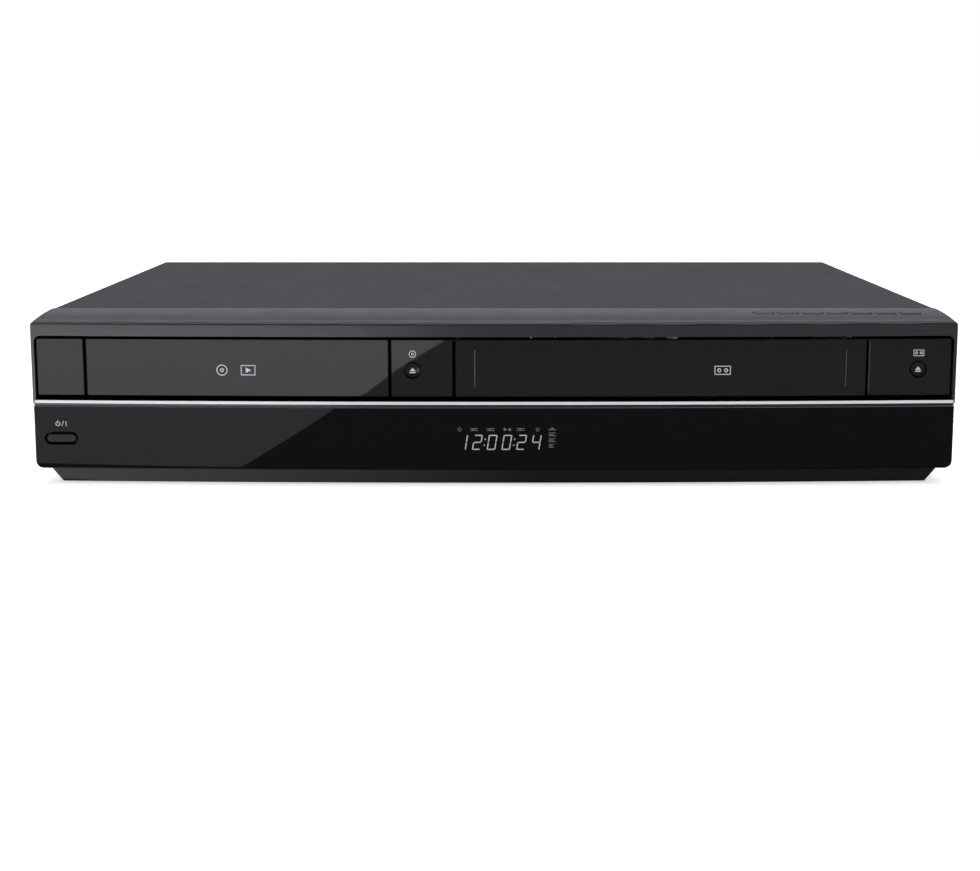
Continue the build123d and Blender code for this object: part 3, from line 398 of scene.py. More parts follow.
@dataclass(frozen=True)
class FrontMoulding(Moulded):
    """The front's satin moulding, with a painted highlight along the upper edge of its lip and painted matt black
    shade in the row's recess.
    """

    # The recess fields bound the painted black shade deep in the row's recess.
    recess_depth: float = 2.3
    recess_low: float = 38.0
    recess_high: float = 70.9
    recess_half: float = 213.4
    # The edge fields set the painted highlight along the lip's rounded upper edge.
    edge_low: float = 76.65
    edge_high: float = 77.32
    edge_depth: float = 1.2
    highlight_colour: tuple[float, float, float] = (0.040, 0.041, 0.044)
    edge_roughness: float = 0.5
    edge_index: float = 1.3

    def make(self) -> bpy.types.Material:
        """Builds the material."""
        shader = Shader.of(super().make())
        x, _, z = shader.axes()
        lip_painted_highlight = shader.node(
            "ShaderNodeBsdfPrincipled",
            Base_Color=tone(*self.highlight_colour),
            Roughness=self.edge_roughness,
            IOR=self.edge_index,
        )
        # Painted highlight: a lighter surface along the lip's upper edge, in front of edge_depth.
        edge = z.over(self.edge_low) * z.under(self.edge_high)
        shader.overlay(edge - edge * BOW.behind(shader, self.edge_depth), lip_painted_highlight)
        # Painted shade: matt black deep in the row's recess.
        recess_shade_mask = (x * x).under(self.recess_half**2) * z.over(self.recess_low) * z.under(self.recess_high)
        shader.paint_shade_black(recess_shade_mask * BOW.behind(shader, self.recess_depth))
        return shader.material


@dataclass(frozen=True)
class Gloss:
    """Polished black plastic with faint wipe marks and a few specks of dust.

    Over edge_z a painted highlight lightens the bevel, and further in than edge_depth behind the front painted matt
    black shade covers it.
    """

    name: str
    colour: tuple[float, float, float]
    roughness: float = 0.04
    index: float = 1.2
    edge_z: float = NOWHERE
    edge_depth: float = 1.5
    # The colour of the painted highlight on the bevel.
    highlight_colour: tuple[float, float, float] = (0.03, 0.031, 0.033)
    edge_roughness: float = 0.12
    edge_index: float = 1.6
    dust_light: float = 0.012

    def make(self) -> bpy.types.Material:
        """Builds the material."""
        shader = Shader(self.name)
        wipes = shader.noise(35.0, 5.0, (1, 1, 6))
        fine = shader.noise(1.2, 3.0, (1, 1, 9), 3.0)
        dust = shader.noise(0.9, 1.0, seed=7.0).over(0.80)
        shader.bump(shader.noise(45.0, 1.0, seed=4.0), 0.004)
        if self.edge_z < NOWHERE:
            self._paint_bevel_highlight(shader)
        dusty = tone(*(part + self.dust_light for part in self.colour))
        return shader.finish(
            Base_Color=shader.blend(dust * 0.6, tone(*self.colour), dusty),
            Roughness=wipes * 0.014 + fine * 0.006 + self.roughness,
            IOR=self.index,
        )

    def _paint_bevel_highlight(self, shader: Shader) -> None:
        """Lays a painted highlight on the bevel and painted black shade behind it over the gloss.

        Args:
            shader: The material.
        """
        _, _, z = shader.axes()
        bevel = shader.node(
            "ShaderNodeBsdfPrincipled",
            Base_Color=tone(*self.highlight_colour),
            Roughness=self.edge_roughness,
            IOR=self.edge_index,
        )
        # Painted highlight on the bevel, from edge_z up.
        shader.overlay(z.over(self.edge_z), bevel)
        # Painted black shade over what lies behind the bevel.
        shader.paint_shade_black(BOW.behind(shader, self.edge_depth) * z.over(self.edge_z))


@dataclass(frozen=True)
class PaintedSteel:
    """Sheet steel under a fine wrinkled paint."""

    name: str
    colour: tuple[float, float, float]
    roughness: float = 0.55
    index: float = 1.3
    grain_mm: float = 0.9
    grain_depth: float = 0.02

    def make(self) -> bpy.types.Material:
        """Builds the material."""
        shader = Shader(self.name)
        wrinkle = shader.noise(self.grain_mm, 3.0)
        clouds = shader.noise(120.0, 3.0, seed=1.0)
        rubs = shader.noise(22.0, 6.0, (1, 0.4, 1), 6.0)
        light = shade(self.colour, 1.08)
        speck = shader.blend(wrinkle, shade(self.colour, 0.92), light)
        shader.bump(wrinkle, self.grain_depth, 0.7)
        return shader.finish(
            Base_Color=shader.blend(clouds * 0.35, speck, light),
            Roughness=rubs * 0.14 + (self.roughness - 0.07),
            IOR=self.index,
        )


@dataclass(frozen=True)
class Metal:
    """Bare or plated metal with drawn or turned lines."""

    name: str
    colour: tuple[float, float, float]
    roughness: float = 0.3
    lines_mm: float = 0.4
    along: tuple[float, float, float] = (0.03, 1.0, 1.0)
    stain: float = 0.2
    metallic: float = 1.0

    def make(self) -> bpy.types.Material:
        """Builds the material."""
        shader = Shader(self.name)
        lines = shader.noise(self.lines_mm, 2.0, self.along)
        stains = shader.noise(26.0, 5.0, seed=3.0)
        shader.bump(lines, 0.003)
        return shader.finish(
            Base_Color=shader.blend(stains, shade(self.colour, 1 - self.stain), tone(*self.colour)),
            Metallic=self.metallic,
            Roughness=lines * 0.1 + stains * 0.1 + (self.roughness - 0.1),
        )


@dataclass(frozen=True)
class BrightStrip(Metal):
    """The strip's bright paint, with painted matt black shade on its edges and on the part within the gap."""

    # Painted black shade covers the strip below low, above high and further back than depth.
    low: float = 39.12
    high: float = 40.5
    depth: float = 0.75

    def make(self) -> bpy.types.Material:
        """Builds the material."""
        shader = Shader.of(super().make())
        _, _, z = shader.axes()
        # Painted matt black shade on the strip's edges and behind its face.
        shader.paint_shade_black(BOW.behind(shader, self.depth).most(z.over(self.high)).most(z.under(self.low)))
        return shader.material


@dataclass(frozen=True)
class Spangle:
    """Galvanised sheet with its crystal spangle."""

    name: str
    colour: tuple[float, float, float]
    roughness: float = 0.42
    crystal_mm: float = 7.0

    def make(self) -> bpy.types.Material:
        """Builds the material."""
        shader = Shader(self.name)
        cells = shader.node("ShaderNodeTexVoronoi", Vector=shader.place(), Scale=METRE / self.crystal_mm)
        facet = Expr(shader.tree, shader.node("ShaderNodeSeparateColor", Color=cells.outputs["Color"]).outputs[0])
        shader.bump(shader.noise(0.5, 2.0), 0.004)
        return shader.finish(
            Base_Color=shader.blend(facet, shade(self.colour, 0.78), tone(*self.colour)),
            Metallic=0.9,
            Roughness=facet * 0.16 + (self.roughness - 0.08),
        )


@dataclass(frozen=True)
class CircuitBoard:
    """Laminate with solder mask over a maze of tracks and tinned pads.

    What stands over parts_above is black, or bare metal in the heat sink's corner: right of the first value of
    sink_from and in front of the second.
    """

    name: str
    mask: tuple[float, float, float]
    track: tuple[float, float, float]
    parts_above: float = NOWHERE
    sink_from: tuple[float, float] = (NOWHERE, 0.0)
    part_colour: tuple[float, float, float] = (0.016, 0.016, 0.018)
    pad_colour: tuple[float, float, float] = (0.62, 0.62, 0.60)
    sink_colour: tuple[float, float, float] = (0.55, 0.56, 0.57)
    track_rate: float = 2.2
    bend_mm: float = 14.0
    pad_pitch: float = 4.5
    pad_radius: float = 0.17

    def make(self) -> bpy.types.Material:
        """Builds the material."""
        shader = Shader(self.name)
        x, y, z = shader.axes()
        part = z.over(self.parts_above)
        sink = part * x.over(self.sink_from[0]) * y.under(self.sink_from[1])
        tracks = self._tracks(shader, x, y)
        pads = shader.node("ShaderNodeTexVoronoi", Vector=shader.place(), Scale=METRE / self.pad_pitch)
        pad = Expr(shader.tree, pads.outputs["Distance"]).under(self.pad_radius)
        masked = shader.blend(tracks, tone(*self.mask), tone(*self.track))
        board = shader.blend(pad, masked, tone(*self.pad_colour))
        mounted = shader.blend(part, board, tone(*self.part_colour))
        bare = 1.0 - part
        shader.bump((tracks * 0.5 + pad) * bare, 0.02)
        return shader.finish(
            Base_Color=shader.blend(sink, mounted, tone(*self.sink_colour)),
            Roughness=0.42 - pad * bare * 0.15,
            Metallic=pad * bare * 0.8 + sink * 0.9,
        )

    def _tracks(self, shader: Shader, x: Expr, y: Expr) -> Expr:
        """The maze of tracks: bent lanes across in some zones and along in the others.

        Args:
            shader: The material.
            x: The place across the board.
            y: The place along the board.

        Returns:
            One on a track, else nought.
        """
        bend = shader.noise(18.0, 1.0) * self.bend_mm
        lanes = ((x + bend) * self.track_rate).sine().over(0.35)
        cross = ((y + bend) * self.track_rate).sine().over(0.55)
        zone = shader.noise(11.0, 0.0, seed=4.0).over(0.5)
        return lanes * zone + cross * (1.0 - zone)


@dataclass(frozen=True)
class Ink:
    """Printed ink, a little uneven."""

    name: str
    colour: tuple[float, float, float]
    glow: float = 0.0

    def make(self) -> bpy.types.Material:
        """Builds the material."""
        shader = Shader(self.name)
        grain = shader.noise(0.5, 2.0)
        return shader.finish(
            Base_Color=shader.blend(grain, shade(self.colour, 0.85), tone(*self.colour)),
            Roughness=grain * 0.1 + 0.5,
            Emission_Color=tone(*self.colour),
            Emission_Strength=self.glow,
        )


class Finish(Enum):
    """Every finish of the player."""

    # The front moulding carries a painted highlight on its lip and painted shade in its recess.
    FRONT = FrontMoulding("front_moulding", (0.014, 0.0146, 0.0165), 0.24, 1.37, 0.3, 0.002, 0.05)
    # The panels and the fascia carry a painted highlight on their top bevel and painted shade behind it.
    GLOSS_PANEL = Gloss("gloss_panel", (0.0085, 0.0088, 0.010), 0.012, 1.20, 69.08)
    GLOSS_FASCIA = Gloss("gloss_fascia", (0.0026, 0.0027, 0.0032), 0.010, 1.13, 37.45, 1.05, (0.11, 0.112, 0.118))
    POWER_KEY = Gloss("power_key", (0.006, 0.006, 0.007), 0.10, 1.16)
    KEY = Gloss("gloss_key", (0.0065, 0.0065, 0.0075), 0.12, 1.22)
    TOP_KEY = Moulded("top_key_plastic", (0.024, 0.0245, 0.026), 0.30, 1.4, 0.3, 0.002, 0.04)
    COVER = PaintedSteel("cover_paint", (0.030, 0.0312, 0.034), 0.5, 1.28)
    REAR = PaintedSteel("rear_paint", (0.028, 0.028, 0.030), 0.5)
    # The strip's edges carry painted black shade.
    TRIM = BrightStrip("bright_strip", (0.74, 0.75, 0.77), 0.34, 0.5, (0.02, 1.0, 1.0), 0.04, 0.0)
    ZINC = Spangle("zinc_sheet", (0.60, 0.61, 0.62))
    SCREW = Metal("black_screw", (0.09, 0.09, 0.10), 0.38, 0.3, (1, 1, 1), 0.3)
    STEEL = Metal("turned_steel", (0.74, 0.75, 0.76), 0.2, 0.25, (1.0, 1.0, 8.0), 0.08)
    NICKEL = Metal("nickel", (0.72, 0.69, 0.62), 0.22, 0.3, (1.0, 0.2, 1.0), 0.1)
    GREY = Moulded("dark_plastic", (0.045, 0.045, 0.048), 0.45)
    SOCKET = Moulded("socket_plastic", (0.018, 0.018, 0.019), 0.42)
    WHITE = Moulded("acetal", (0.70, 0.69, 0.64), 0.38, 1.45, 0.5, 0.003, 0.03)
    RUBBER = Moulded("rubber", (0.016, 0.016, 0.016), 0.75, 1.45, 0.6, 0.01)
    FOOT = Moulded("foot_rubber", (0.028, 0.028, 0.029), 0.7, 1.45, 0.8, 0.012)
    GREEN_BOARD = CircuitBoard("green_board", (0.02, 0.075, 0.035), (0.035, 0.13, 0.06), 15.75)
    PAPER_BOARD = CircuitBoard("paper_board", (0.33, 0.20, 0.085), (0.40, 0.26, 0.12))
    SUPPLY_BOARD = CircuitBoard("supply_board", (0.33, 0.20, 0.085), (0.40, 0.26, 0.12), 15.75, (-133.6, 92.0))
    TAPE = Moulded("amber_tape", (0.50, 0.36, 0.09), 0.3, 1.45, 1.0, 0.004)
    GLASS = Gloss("display_glass", (0.006, 0.007, 0.007), 0.03, 1.3)
    PRINT = Ink("pale_print", (0.60, 0.61, 0.63))
    FAINT_PRINT = Ink("faint_print", (0.17, 0.175, 0.185))
    DIGIT = Ink("clock_light", (0.42, 0.45, 0.45), 0.2)
    ICON = Ink("icon_light", (0.16, 0.18, 0.19), 0.06)
    # The ribs' pale grey is a painted highlight on the grooves.
    GROOVE_HIGHLIGHT = Moulded("groove_painted_highlight", (0.055, 0.055, 0.058), 0.35, 1.45)
    YELLOW = Ink("jack_yellow", (0.70, 0.52, 0.03))
    JACK_WHITE = Ink("jack_white", (0.68, 0.68, 0.65))
    RED = Ink("jack_red", (0.52, 0.02, 0.02))
    GREEN = Ink("jack_green", (0.03, 0.30, 0.06))
    BLUE = Ink("jack_blue", (0.03, 0.08, 0.42))


NODE_FINISHES = {
    Finish.FRONT: ["front_frame"],
    Finish.GLOSS_PANEL: ["badge_panel", "disc_key_panel", "tape_key_panel", "tray_fascia", "cassette_door"],
    Finish.GLOSS_FASCIA: ["lower_fascia"],
    Finish.KEY: ["disc_eject_button", "tape_eject_button"],
    Finish.POWER_KEY: ["power_button"],
    Finish.TOP_KEY: [f"top_key_{number}" for number in range(1, 8)],
    Finish.COVER: ["top_cover"],
    Finish.REAR: ["rear_panel"],
    Finish.TRIM: ["trim_strip"],
    Finish.ZINC: ["base_chassis", "deck_chassis", "carriage_frame", "carriage_slider", "cassette_holder",
                  "clamp_bridge", "tuner_module", "tray_motor", "pinch_arm"],
    Finish.SCREW: ["case_screws"],
    Finish.STEEL: ["lower_drum", "upper_drum", "capstan_flywheel", "loading_post_left", "loading_post_right",
                   "tape_heads"],
    Finish.NICKEL: ["jack_barrels", "inlet_pins"],
    Finish.GREY: ["fan_frame", "fan_rotor", "loader_frame", "traverse_chassis", "turntable", "optical_pickup",
                  "tact_switches", "disc_tray"],
    Finish.SOCKET: ["mains_inlet", "jack_block"],
    Finish.WHITE: ["tray_gear", "disc_clamper", "reel_table_left", "reel_table_right"],
    Finish.RUBBER: ["tray_belt", "pinch_roller"],
    Finish.FOOT: ["feet"],
    Finish.GREEN_BOARD: ["main_board"],
    Finish.PAPER_BOARD: ["front_boards"],
    Finish.SUPPLY_BOARD: ["power_board"],
    Finish.TAPE: ["transformer"],
    Finish.GLASS: ["display_module"],
}


@dataclass(frozen=True)
class FrontShading:
    """Shading normals for the bowed CAD pieces, worked out from the bow, so that gloss shows no facets.

    The lip's rounding and the rising top are two arcs in section, given as a depth behind the bow and a height.
    The tilts are the least upward part of a face's normal there, and slack is how far before the rise, in depth
    and height, its faces may begin.
    """

    smooth_angle: float = 32.0
    turn_limit: float = 1.6
    least_part: float = 1e-3
    lip_centre: tuple[float, float] = (1.405, 75.9)
    lip_low: float = 75.98
    lip_depth: float = 1.42
    lip_tilt: float = 0.02
    rise: tuple[tuple[float, float], ...] = ((1.4, 77.3), (18.0, 78.75), (38.0, 79.5))
    rise_slack: tuple[float, float] = (0.05, 0.02)
    rise_tilt: float = 0.9
    pieces: tuple[str, ...] = (
        "front_frame", "badge_panel", "disc_key_panel", "tape_key_panel", "lower_fascia", "trim_strip",
        "tray_fascia", "cassette_door",
    )

    def apply(self, node: bpy.types.Object) -> None:
        """Sets the normals of a piece's corners; its shape stays as it is.

        Args:
            node: The piece.
        """
        mesh = node.data
        around: dict = {}
        for polygon in mesh.polygons:
            for index in polygon.vertices:
                key = self._key(mesh.vertices[index].co)
                around.setdefault(key, []).append((polygon.normal.copy(), polygon.area))
        limit = math.cos(math.radians(self.smooth_angle))
        normals = [None] * len(mesh.loops)
        for polygon in mesh.polygons:
            polygon.use_smooth = True
            for loop, index in zip(polygon.loop_indices, polygon.vertices):
                place = mesh.vertices[index].co
                total = Vector((0, 0, 0))
                for normal, area in around[self._key(place)]:
                    if normal.dot(polygon.normal) > limit:
                        total += normal * area
                normals[loop] = self._bowed(place, polygon.normal, total.normalized())
        mesh.normals_split_custom_set(normals)

    def _key(self, place: Vector) -> tuple[int, int, int]:
        """A place as whole micrometres, so that loose corners meet."""
        return tuple(round(value * MICRONS) for value in place)

    def _bowed(self, place: Vector, face: Vector, smooth: Vector) -> Vector:
        """The true normal of the bowed surface at a corner, where the face lies on it.

        Args:
            place: The corner, in metres.
            face: The normal of the face.
            smooth: The corner's smooth normal, for faces that lie elsewhere.

        Returns:
            The normal.
        """
        across = Vector((place.x / MM, place.y / MM - BOW.front_y - BOW.radius, 0))
        depth = BOW.radius - across.length
        height = place.z / MM
        outward = across.normalized()
        flat = Vector((face.x, face.y, 0))
        if flat.length < self.least_part or flat.normalized().angle(outward) > math.radians(self.turn_limit):
            return smooth
        (rise_depth, rise_low), (depth_slack, height_slack) = self.rise[0], self.rise_slack
        on_rise = height > rise_low - height_slack and depth > rise_depth - depth_slack
        if depth < self.lip_depth and height > self.lip_low and face.z > self.lip_tilt:
            forward, up = self.lip_centre[0] - depth, height - self.lip_centre[1]
        elif on_rise and face.z > self.rise_tilt:
            forward, up = self._rise_normal(min(depth, self.rise[2][0]))
        elif abs(face.z) < self.least_part:
            forward, up = 1.0, 0.0
        else:
            forward, up = flat.length, face.z
        return (outward * forward + Vector((0, 0, up))).normalized()

    def _rise_normal(self, depth: float) -> tuple[float, float]:
        """The normal of the rising top, from the circle through the three points of its section.

        Args:
            depth: The depth behind the bow.

        Returns:
            The normal's forward and upward parts.
        """
        (y0, z0), (y1, z1), (y2, z2) = self.rise
        twice = 2 * (y0 * (z1 - z2) + y1 * (z2 - z0) + y2 * (z0 - z1))
        s0, s1, s2 = y0**2 + z0**2, y1**2 + z1**2, y2**2 + z2**2
        centre_y = (s0 * (z1 - z2) + s1 * (z2 - z0) + s2 * (z0 - z1)) / twice
        centre_z = (s0 * (y2 - y1) + s1 * (y0 - y2) + s2 * (y1 - y0)) / twice
        forward = (centre_y - depth) / math.hypot(y0 - centre_y, z0 - centre_z)
        return (forward, math.sqrt(1 - forward**2))


def soften(node: bpy.types.Object, angle: float = 38.0) -> None:
    """Shades a CAD node smoothly across its curved faces and keeps its edges sharp.

    Args:
        node: The node.
        angle: The turn between two faces, in degrees, from which their edge is sharp.
    """
    weld = node.modifiers.new("weld", "WELD")
    weld.merge_threshold = 1 / MICRONS
    split = node.modifiers.new("edges", "EDGE_SPLIT")
    split.split_angle = math.radians(angle)
    weighted = node.modifiers.new("shading", "WEIGHTED_NORMAL")
    weighted.mode = "FACE_AREA"
    weighted.keep_sharp = True
    for polygon in node.data.polygons:
        polygon.use_smooth = True


@dataclass
class Wardrobe:
    """Makes each finish once and hands it out."""

    made: dict = field(default_factory=dict)

    def get(self, finish: Finish) -> bpy.types.Material:
        """Looks a finish's material up.

        Args:
            finish: The finish.

        Returns:
            Its material, made at the first call.
        """
        if finish not in self.made:
            self.made[finish] = finish.value.make()
        return self.made[finish]

    def dress_nodes(self, nodes: dict) -> None:
        """Gives every CAD node its finish, and rounds its shading off where faces are nearly in line.

        Args:
            nodes: The CAD nodes by name.
        """
        shading = FrontShading()
        for finish, names in NODE_FINISHES.items():
            for name in names:
                node = nodes[name]
                node.data.materials.clear()
                node.data.materials.append(self.get(finish))
                if name in shading.pieces:
                    shading.apply(node)
                else:
                    soften(node)
                LOG.info("dressed %s in %s", name, finish.name)


def set_down(name: str, mesh: bmesh.types.BMesh) -> bpy.types.Object:
    """Turns a bmesh into an object at the scene's origin, and frees the bmesh.

    Args:
        name: The object's name.
        mesh: The bmesh, in metres.

    Returns:
        The new object.
    """
    data = bpy.data.meshes.new(name)
    mesh.to_mesh(data)
    mesh.free()
    made = bpy.data.objects.new(name, data)
    bpy.context.scene.collection.objects.link(made)
    return made


def rectangle(x0: float, x1: float, z0: float, z1: float, slant: float = 0.0) -> list[tuple[float, float]]:
    """The corners of a rectangle.

    Args:
        x0: Its left side.
        x1: Its right side.
        z0: Its lower side.
        z1: Its upper side.
        slant: How far it leans to the right, as a share of the height.

    Returns:
        The corners, in order.
    """
    return [(x0 + slant * z0, z0), (x1 + slant * z0, z0), (x1 + slant * z1, z1), (x0 + slant * z1, z1)]


class Piece:
    """A new mesh piece built in a bmesh, in millimetres, and set down in metres."""

    def __init__(self, name: str) -> None:
        """Starts an empty piece."""
        self.name = name
        self.mesh = bmesh.new()

    def polygon(self, points: list[tuple[float, float, float]]) -> list:
        """Adds one flat face through corner points.

        Args:
            points: The corners, in order.

        Returns:
            The new face, in a list.
        """
        return [self.mesh.faces.new([self.mesh.verts.new(point) for point in points])]

    def thicken(self, faces: list, push: tuple[float, float, float]) -> None:
        """Turns flat faces into a thin plate, pushed out along a vector.

        Args:
            faces: The faces.
            push: The vector.
        """
        grown = bmesh.ops.extrude_face_region(self.mesh, geom=faces)
        points = [item for item in grown["geom"] if isinstance(item, bmesh.types.BMVert)]
        bmesh.ops.translate(self.mesh, verts=points, vec=push)

    def done(self, material: bpy.types.Material, slot: Slot, body: str, smooth: bool = False) -> bpy.types.Object:
        """Closes the piece, sets it down in metres and lets it ride on a body.

        Args:
            material: The piece's finish.
            slot: Not used.
            body: The CAD body that carries the piece.
            smooth: Whether its faces shade smoothly.

        Returns:
            The new object.
        """
        bmesh.ops.remove_doubles(self.mesh, verts=self.mesh.verts, dist=WELD_MM)
        bmesh.ops.recalc_face_normals(self.mesh, faces=self.mesh.faces)
        bmesh.ops.scale(self.mesh, vec=(MM, MM, MM), verts=self.mesh.verts)
        made = set_down(self.name, self.mesh)
        for polygon in made.data.polygons:
            polygon.use_smooth = smooth
        made.data.materials.append(material)
        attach(made, body)
        LOG.info("made %s on %s", self.name, body)
        return made


class FrontMark(Piece):
    """A printed mark on the bowed front, drawn in x and z."""

    LIFT = 0.03
    ARC_STEP = 15

    def __init__(self, name: str, depth: float, ink: float = 0.05, flat_x: float | None = None) -> None:
        """Starts an empty mark.

        Args:
            name: The piece's name.
            depth: How deep behind the front the marked surface lies.
            ink: The ink's thickness.
            flat_x: The middle of the surface, where it is flat and not bowed.
        """
        super().__init__(name)
        self.depth = depth
        self.ink = ink
        self.flat_x = flat_x

    def on_front(self, x: float, z: float) -> tuple[float, float, float]:
        """The point of the surface at x and z, a little proud of it."""
        return (x, BOW.y(x if self.flat_x is None else self.flat_x, self.depth) - self.LIFT, z)

    def shape(self, outline: list[tuple[float, float]]) -> None:
        """Adds a filled outline.

        Args:
            outline: Its corners, each across the front and in height.
        """
        self.thicken(self.polygon([self.on_front(x, z) for x, z in outline]), (0, -self.ink, 0))

    def bar(self, x0: float, x1: float, z0: float, z1: float, slant: float = 0.0) -> None:
        """Adds a filled rectangle, with the arguments of rectangle()."""
        self.shape(rectangle(x0, x1, z0, z1, slant))

    def frame(self, x0: float, x1: float, z0: float, z1: float, line: float) -> None:
        """Adds the outline of a rectangle, as four bars.

        Args:
            x0: Its left side.
            x1: Its right side.
            z0: Its lower side.
            z1: Its upper side.
            line: The width of its line.
        """
        for low in (z0, z1 - line):
            self.bar(x0, x1, low, low + line)
        for left in (x0, x1 - line):
            self.bar(left, left + line, z0, z1)

    def ring(self, x: float, z: float, outer: float, inner: float, start: float = 0.0, turn: float = 360.0) -> None:
        """Adds a ring or part of one, as a chain of short plates.

        Args:
            x: The place of its middle across the front.
            z: The height of its middle.
            outer: Its outer radius.
            inner: Its inner radius.
            start: Where it starts, in degrees from the right.
            turn: How far it runs on, in degrees.
        """
        steps = max(6, int(turn / self.ARC_STEP))
        for step in range(steps):
            a0 = math.radians(start + turn * step / steps)
            a1 = math.radians(start + turn * (step + 1) / steps)
            ends = [(outer, a0), (outer, a1), (inner, a1), (inner, a0)]
            self.shape([(x + radius * math.cos(a), z + radius * math.sin(a)) for radius, a in ends])


SEGMENTS = {
    "0": "abcdef", "1": "bc", "2": "abged", "3": "abgcd", "4": "fgbc",
    "5": "afgcd", "6": "afgedc", "7": "abc", "8": "abcdefg", "9": "abcdfg",
}


@dataclass
class ClockDisplay:
    """The clock behind the lower fascia: slanted seven-bar digits and a row of small plain icons."""

    text: str = "12:00:24"
    left: float = -16.9
    low: float = 17.9
    high: float = 25.0
    digit: float = 3.5
    pitch: float = 6.85
    bar: float = 0.5
    gap: float = 0.22
    slant: float = 0.16
    depth: float = 0.6
    dot: float = 0.55
    dot_left: float = 1.95
    dot_low: float = 1.9
    dot_high: float = 2.4
    icon_z: float = 27.5
    ring_places: tuple[float, float] = (-16.0, 20.3)
    text_places: tuple[float, float, float] = (-9.3, -1.6, 12.4)
    list_x: float = 25.5
    list_low: float = 19.0
    list_pitch: float = 2.7
    list_widths: tuple[float, float, float] = (2.4, 3.2, 3.4)

    def build(self, wardrobe: Wardrobe) -> None:
        """Builds the digits and the icons.

        Args:
            wardrobe: Where the finishes come from.
        """
        self._digits().done(wardrobe.get(Finish.DIGIT), Slot.DISPLAY, "case")
        self._icons().done(wardrobe.get(Finish.ICON), Slot.DISPLAY, "case")

    def _segment(self, mark: FrontMark, name: str, x: float) -> None:
        """Adds one bar of a digit.

        Args:
            mark: The mark that it is added to.
            name: The bar's letter.
            x: The digit's left edge.
        """
        middle, half = (self.low + self.high) / 2, self.bar / 2
        right = x + self.digit
        flat = {"a": self.high - half, "g": middle, "d": self.low + half}
        side = {
            "f": (x, middle, self.high), "b": (right, middle, self.high),
            "e": (x, self.low, middle), "c": (right, self.low, middle),
        }
        if name in flat:
            mark.bar(x + self.gap, right - self.gap, flat[name] - half, flat[name] + half, self.slant)
        else:
            centre, z0, z1 = side[name]
            mark.bar(centre - half, centre + half, z0 + self.gap, z1 - self.gap, self.slant)

    def _digits(self) -> FrontMark:
        """The digits and colons."""
        mark = FrontMark("clock_digits", self.depth)
        x = self.left - self.slant * self.low
        for letter in self.text:
            if letter == ":":
                dot_x = x - self.dot_left
                for z in (self.low + self.dot_low, self.high - self.dot_high):
                    mark.bar(dot_x, dot_x + self.dot, z, z + self.dot, self.slant)
                continue
            for name in SEGMENTS[letter]:
                self._segment(mark, name, x)
            x += self.pitch
        return mark

    def _icons(self) -> FrontMark:
        """Small plain marks above and beside the digits: rings, lines, arrows and a list."""
        mark = FrontMark("display_icons", self.depth)
        z = self.icon_z
        for x in self.ring_places:
            mark.ring(x, z, 0.85, 0.6)
        for x in self.text_places:
            mark.bar(x - 1.8, x + 1.8, z - 0.6, z - 0.35)
            mark.bar(x - 1.8, x + 1.8, z + 0.35, z + 0.6)
            mark.bar(x - 0.9, x + 0.3, z - 0.12, z + 0.12)
        mark.shape([(4.6, z - 0.8), (6.0, z), (4.6, z + 0.8)])
        mark.shape([(7.8, z - 0.8), (7.8, z + 0.8), (6.4, z)])
        mark.bar(25.3, 28.9, z - 0.2, z + 0.1)
        mark.shape([(26.3, z + 0.4), (27.9, z + 0.4), (27.1, z + 1.0)])
        for row, width in enumerate(self.list_widths):
            low = self.list_low + self.list_pitch * row
            for share, line_low, line_high in ((1.0, 0.0, 0.3), (0.7, 0.7, 1.0), (1.0, 1.4, 1.6)):
                mark.bar(self.list_x, self.list_x + width * share, low + line_low, low + line_high)
        return mark


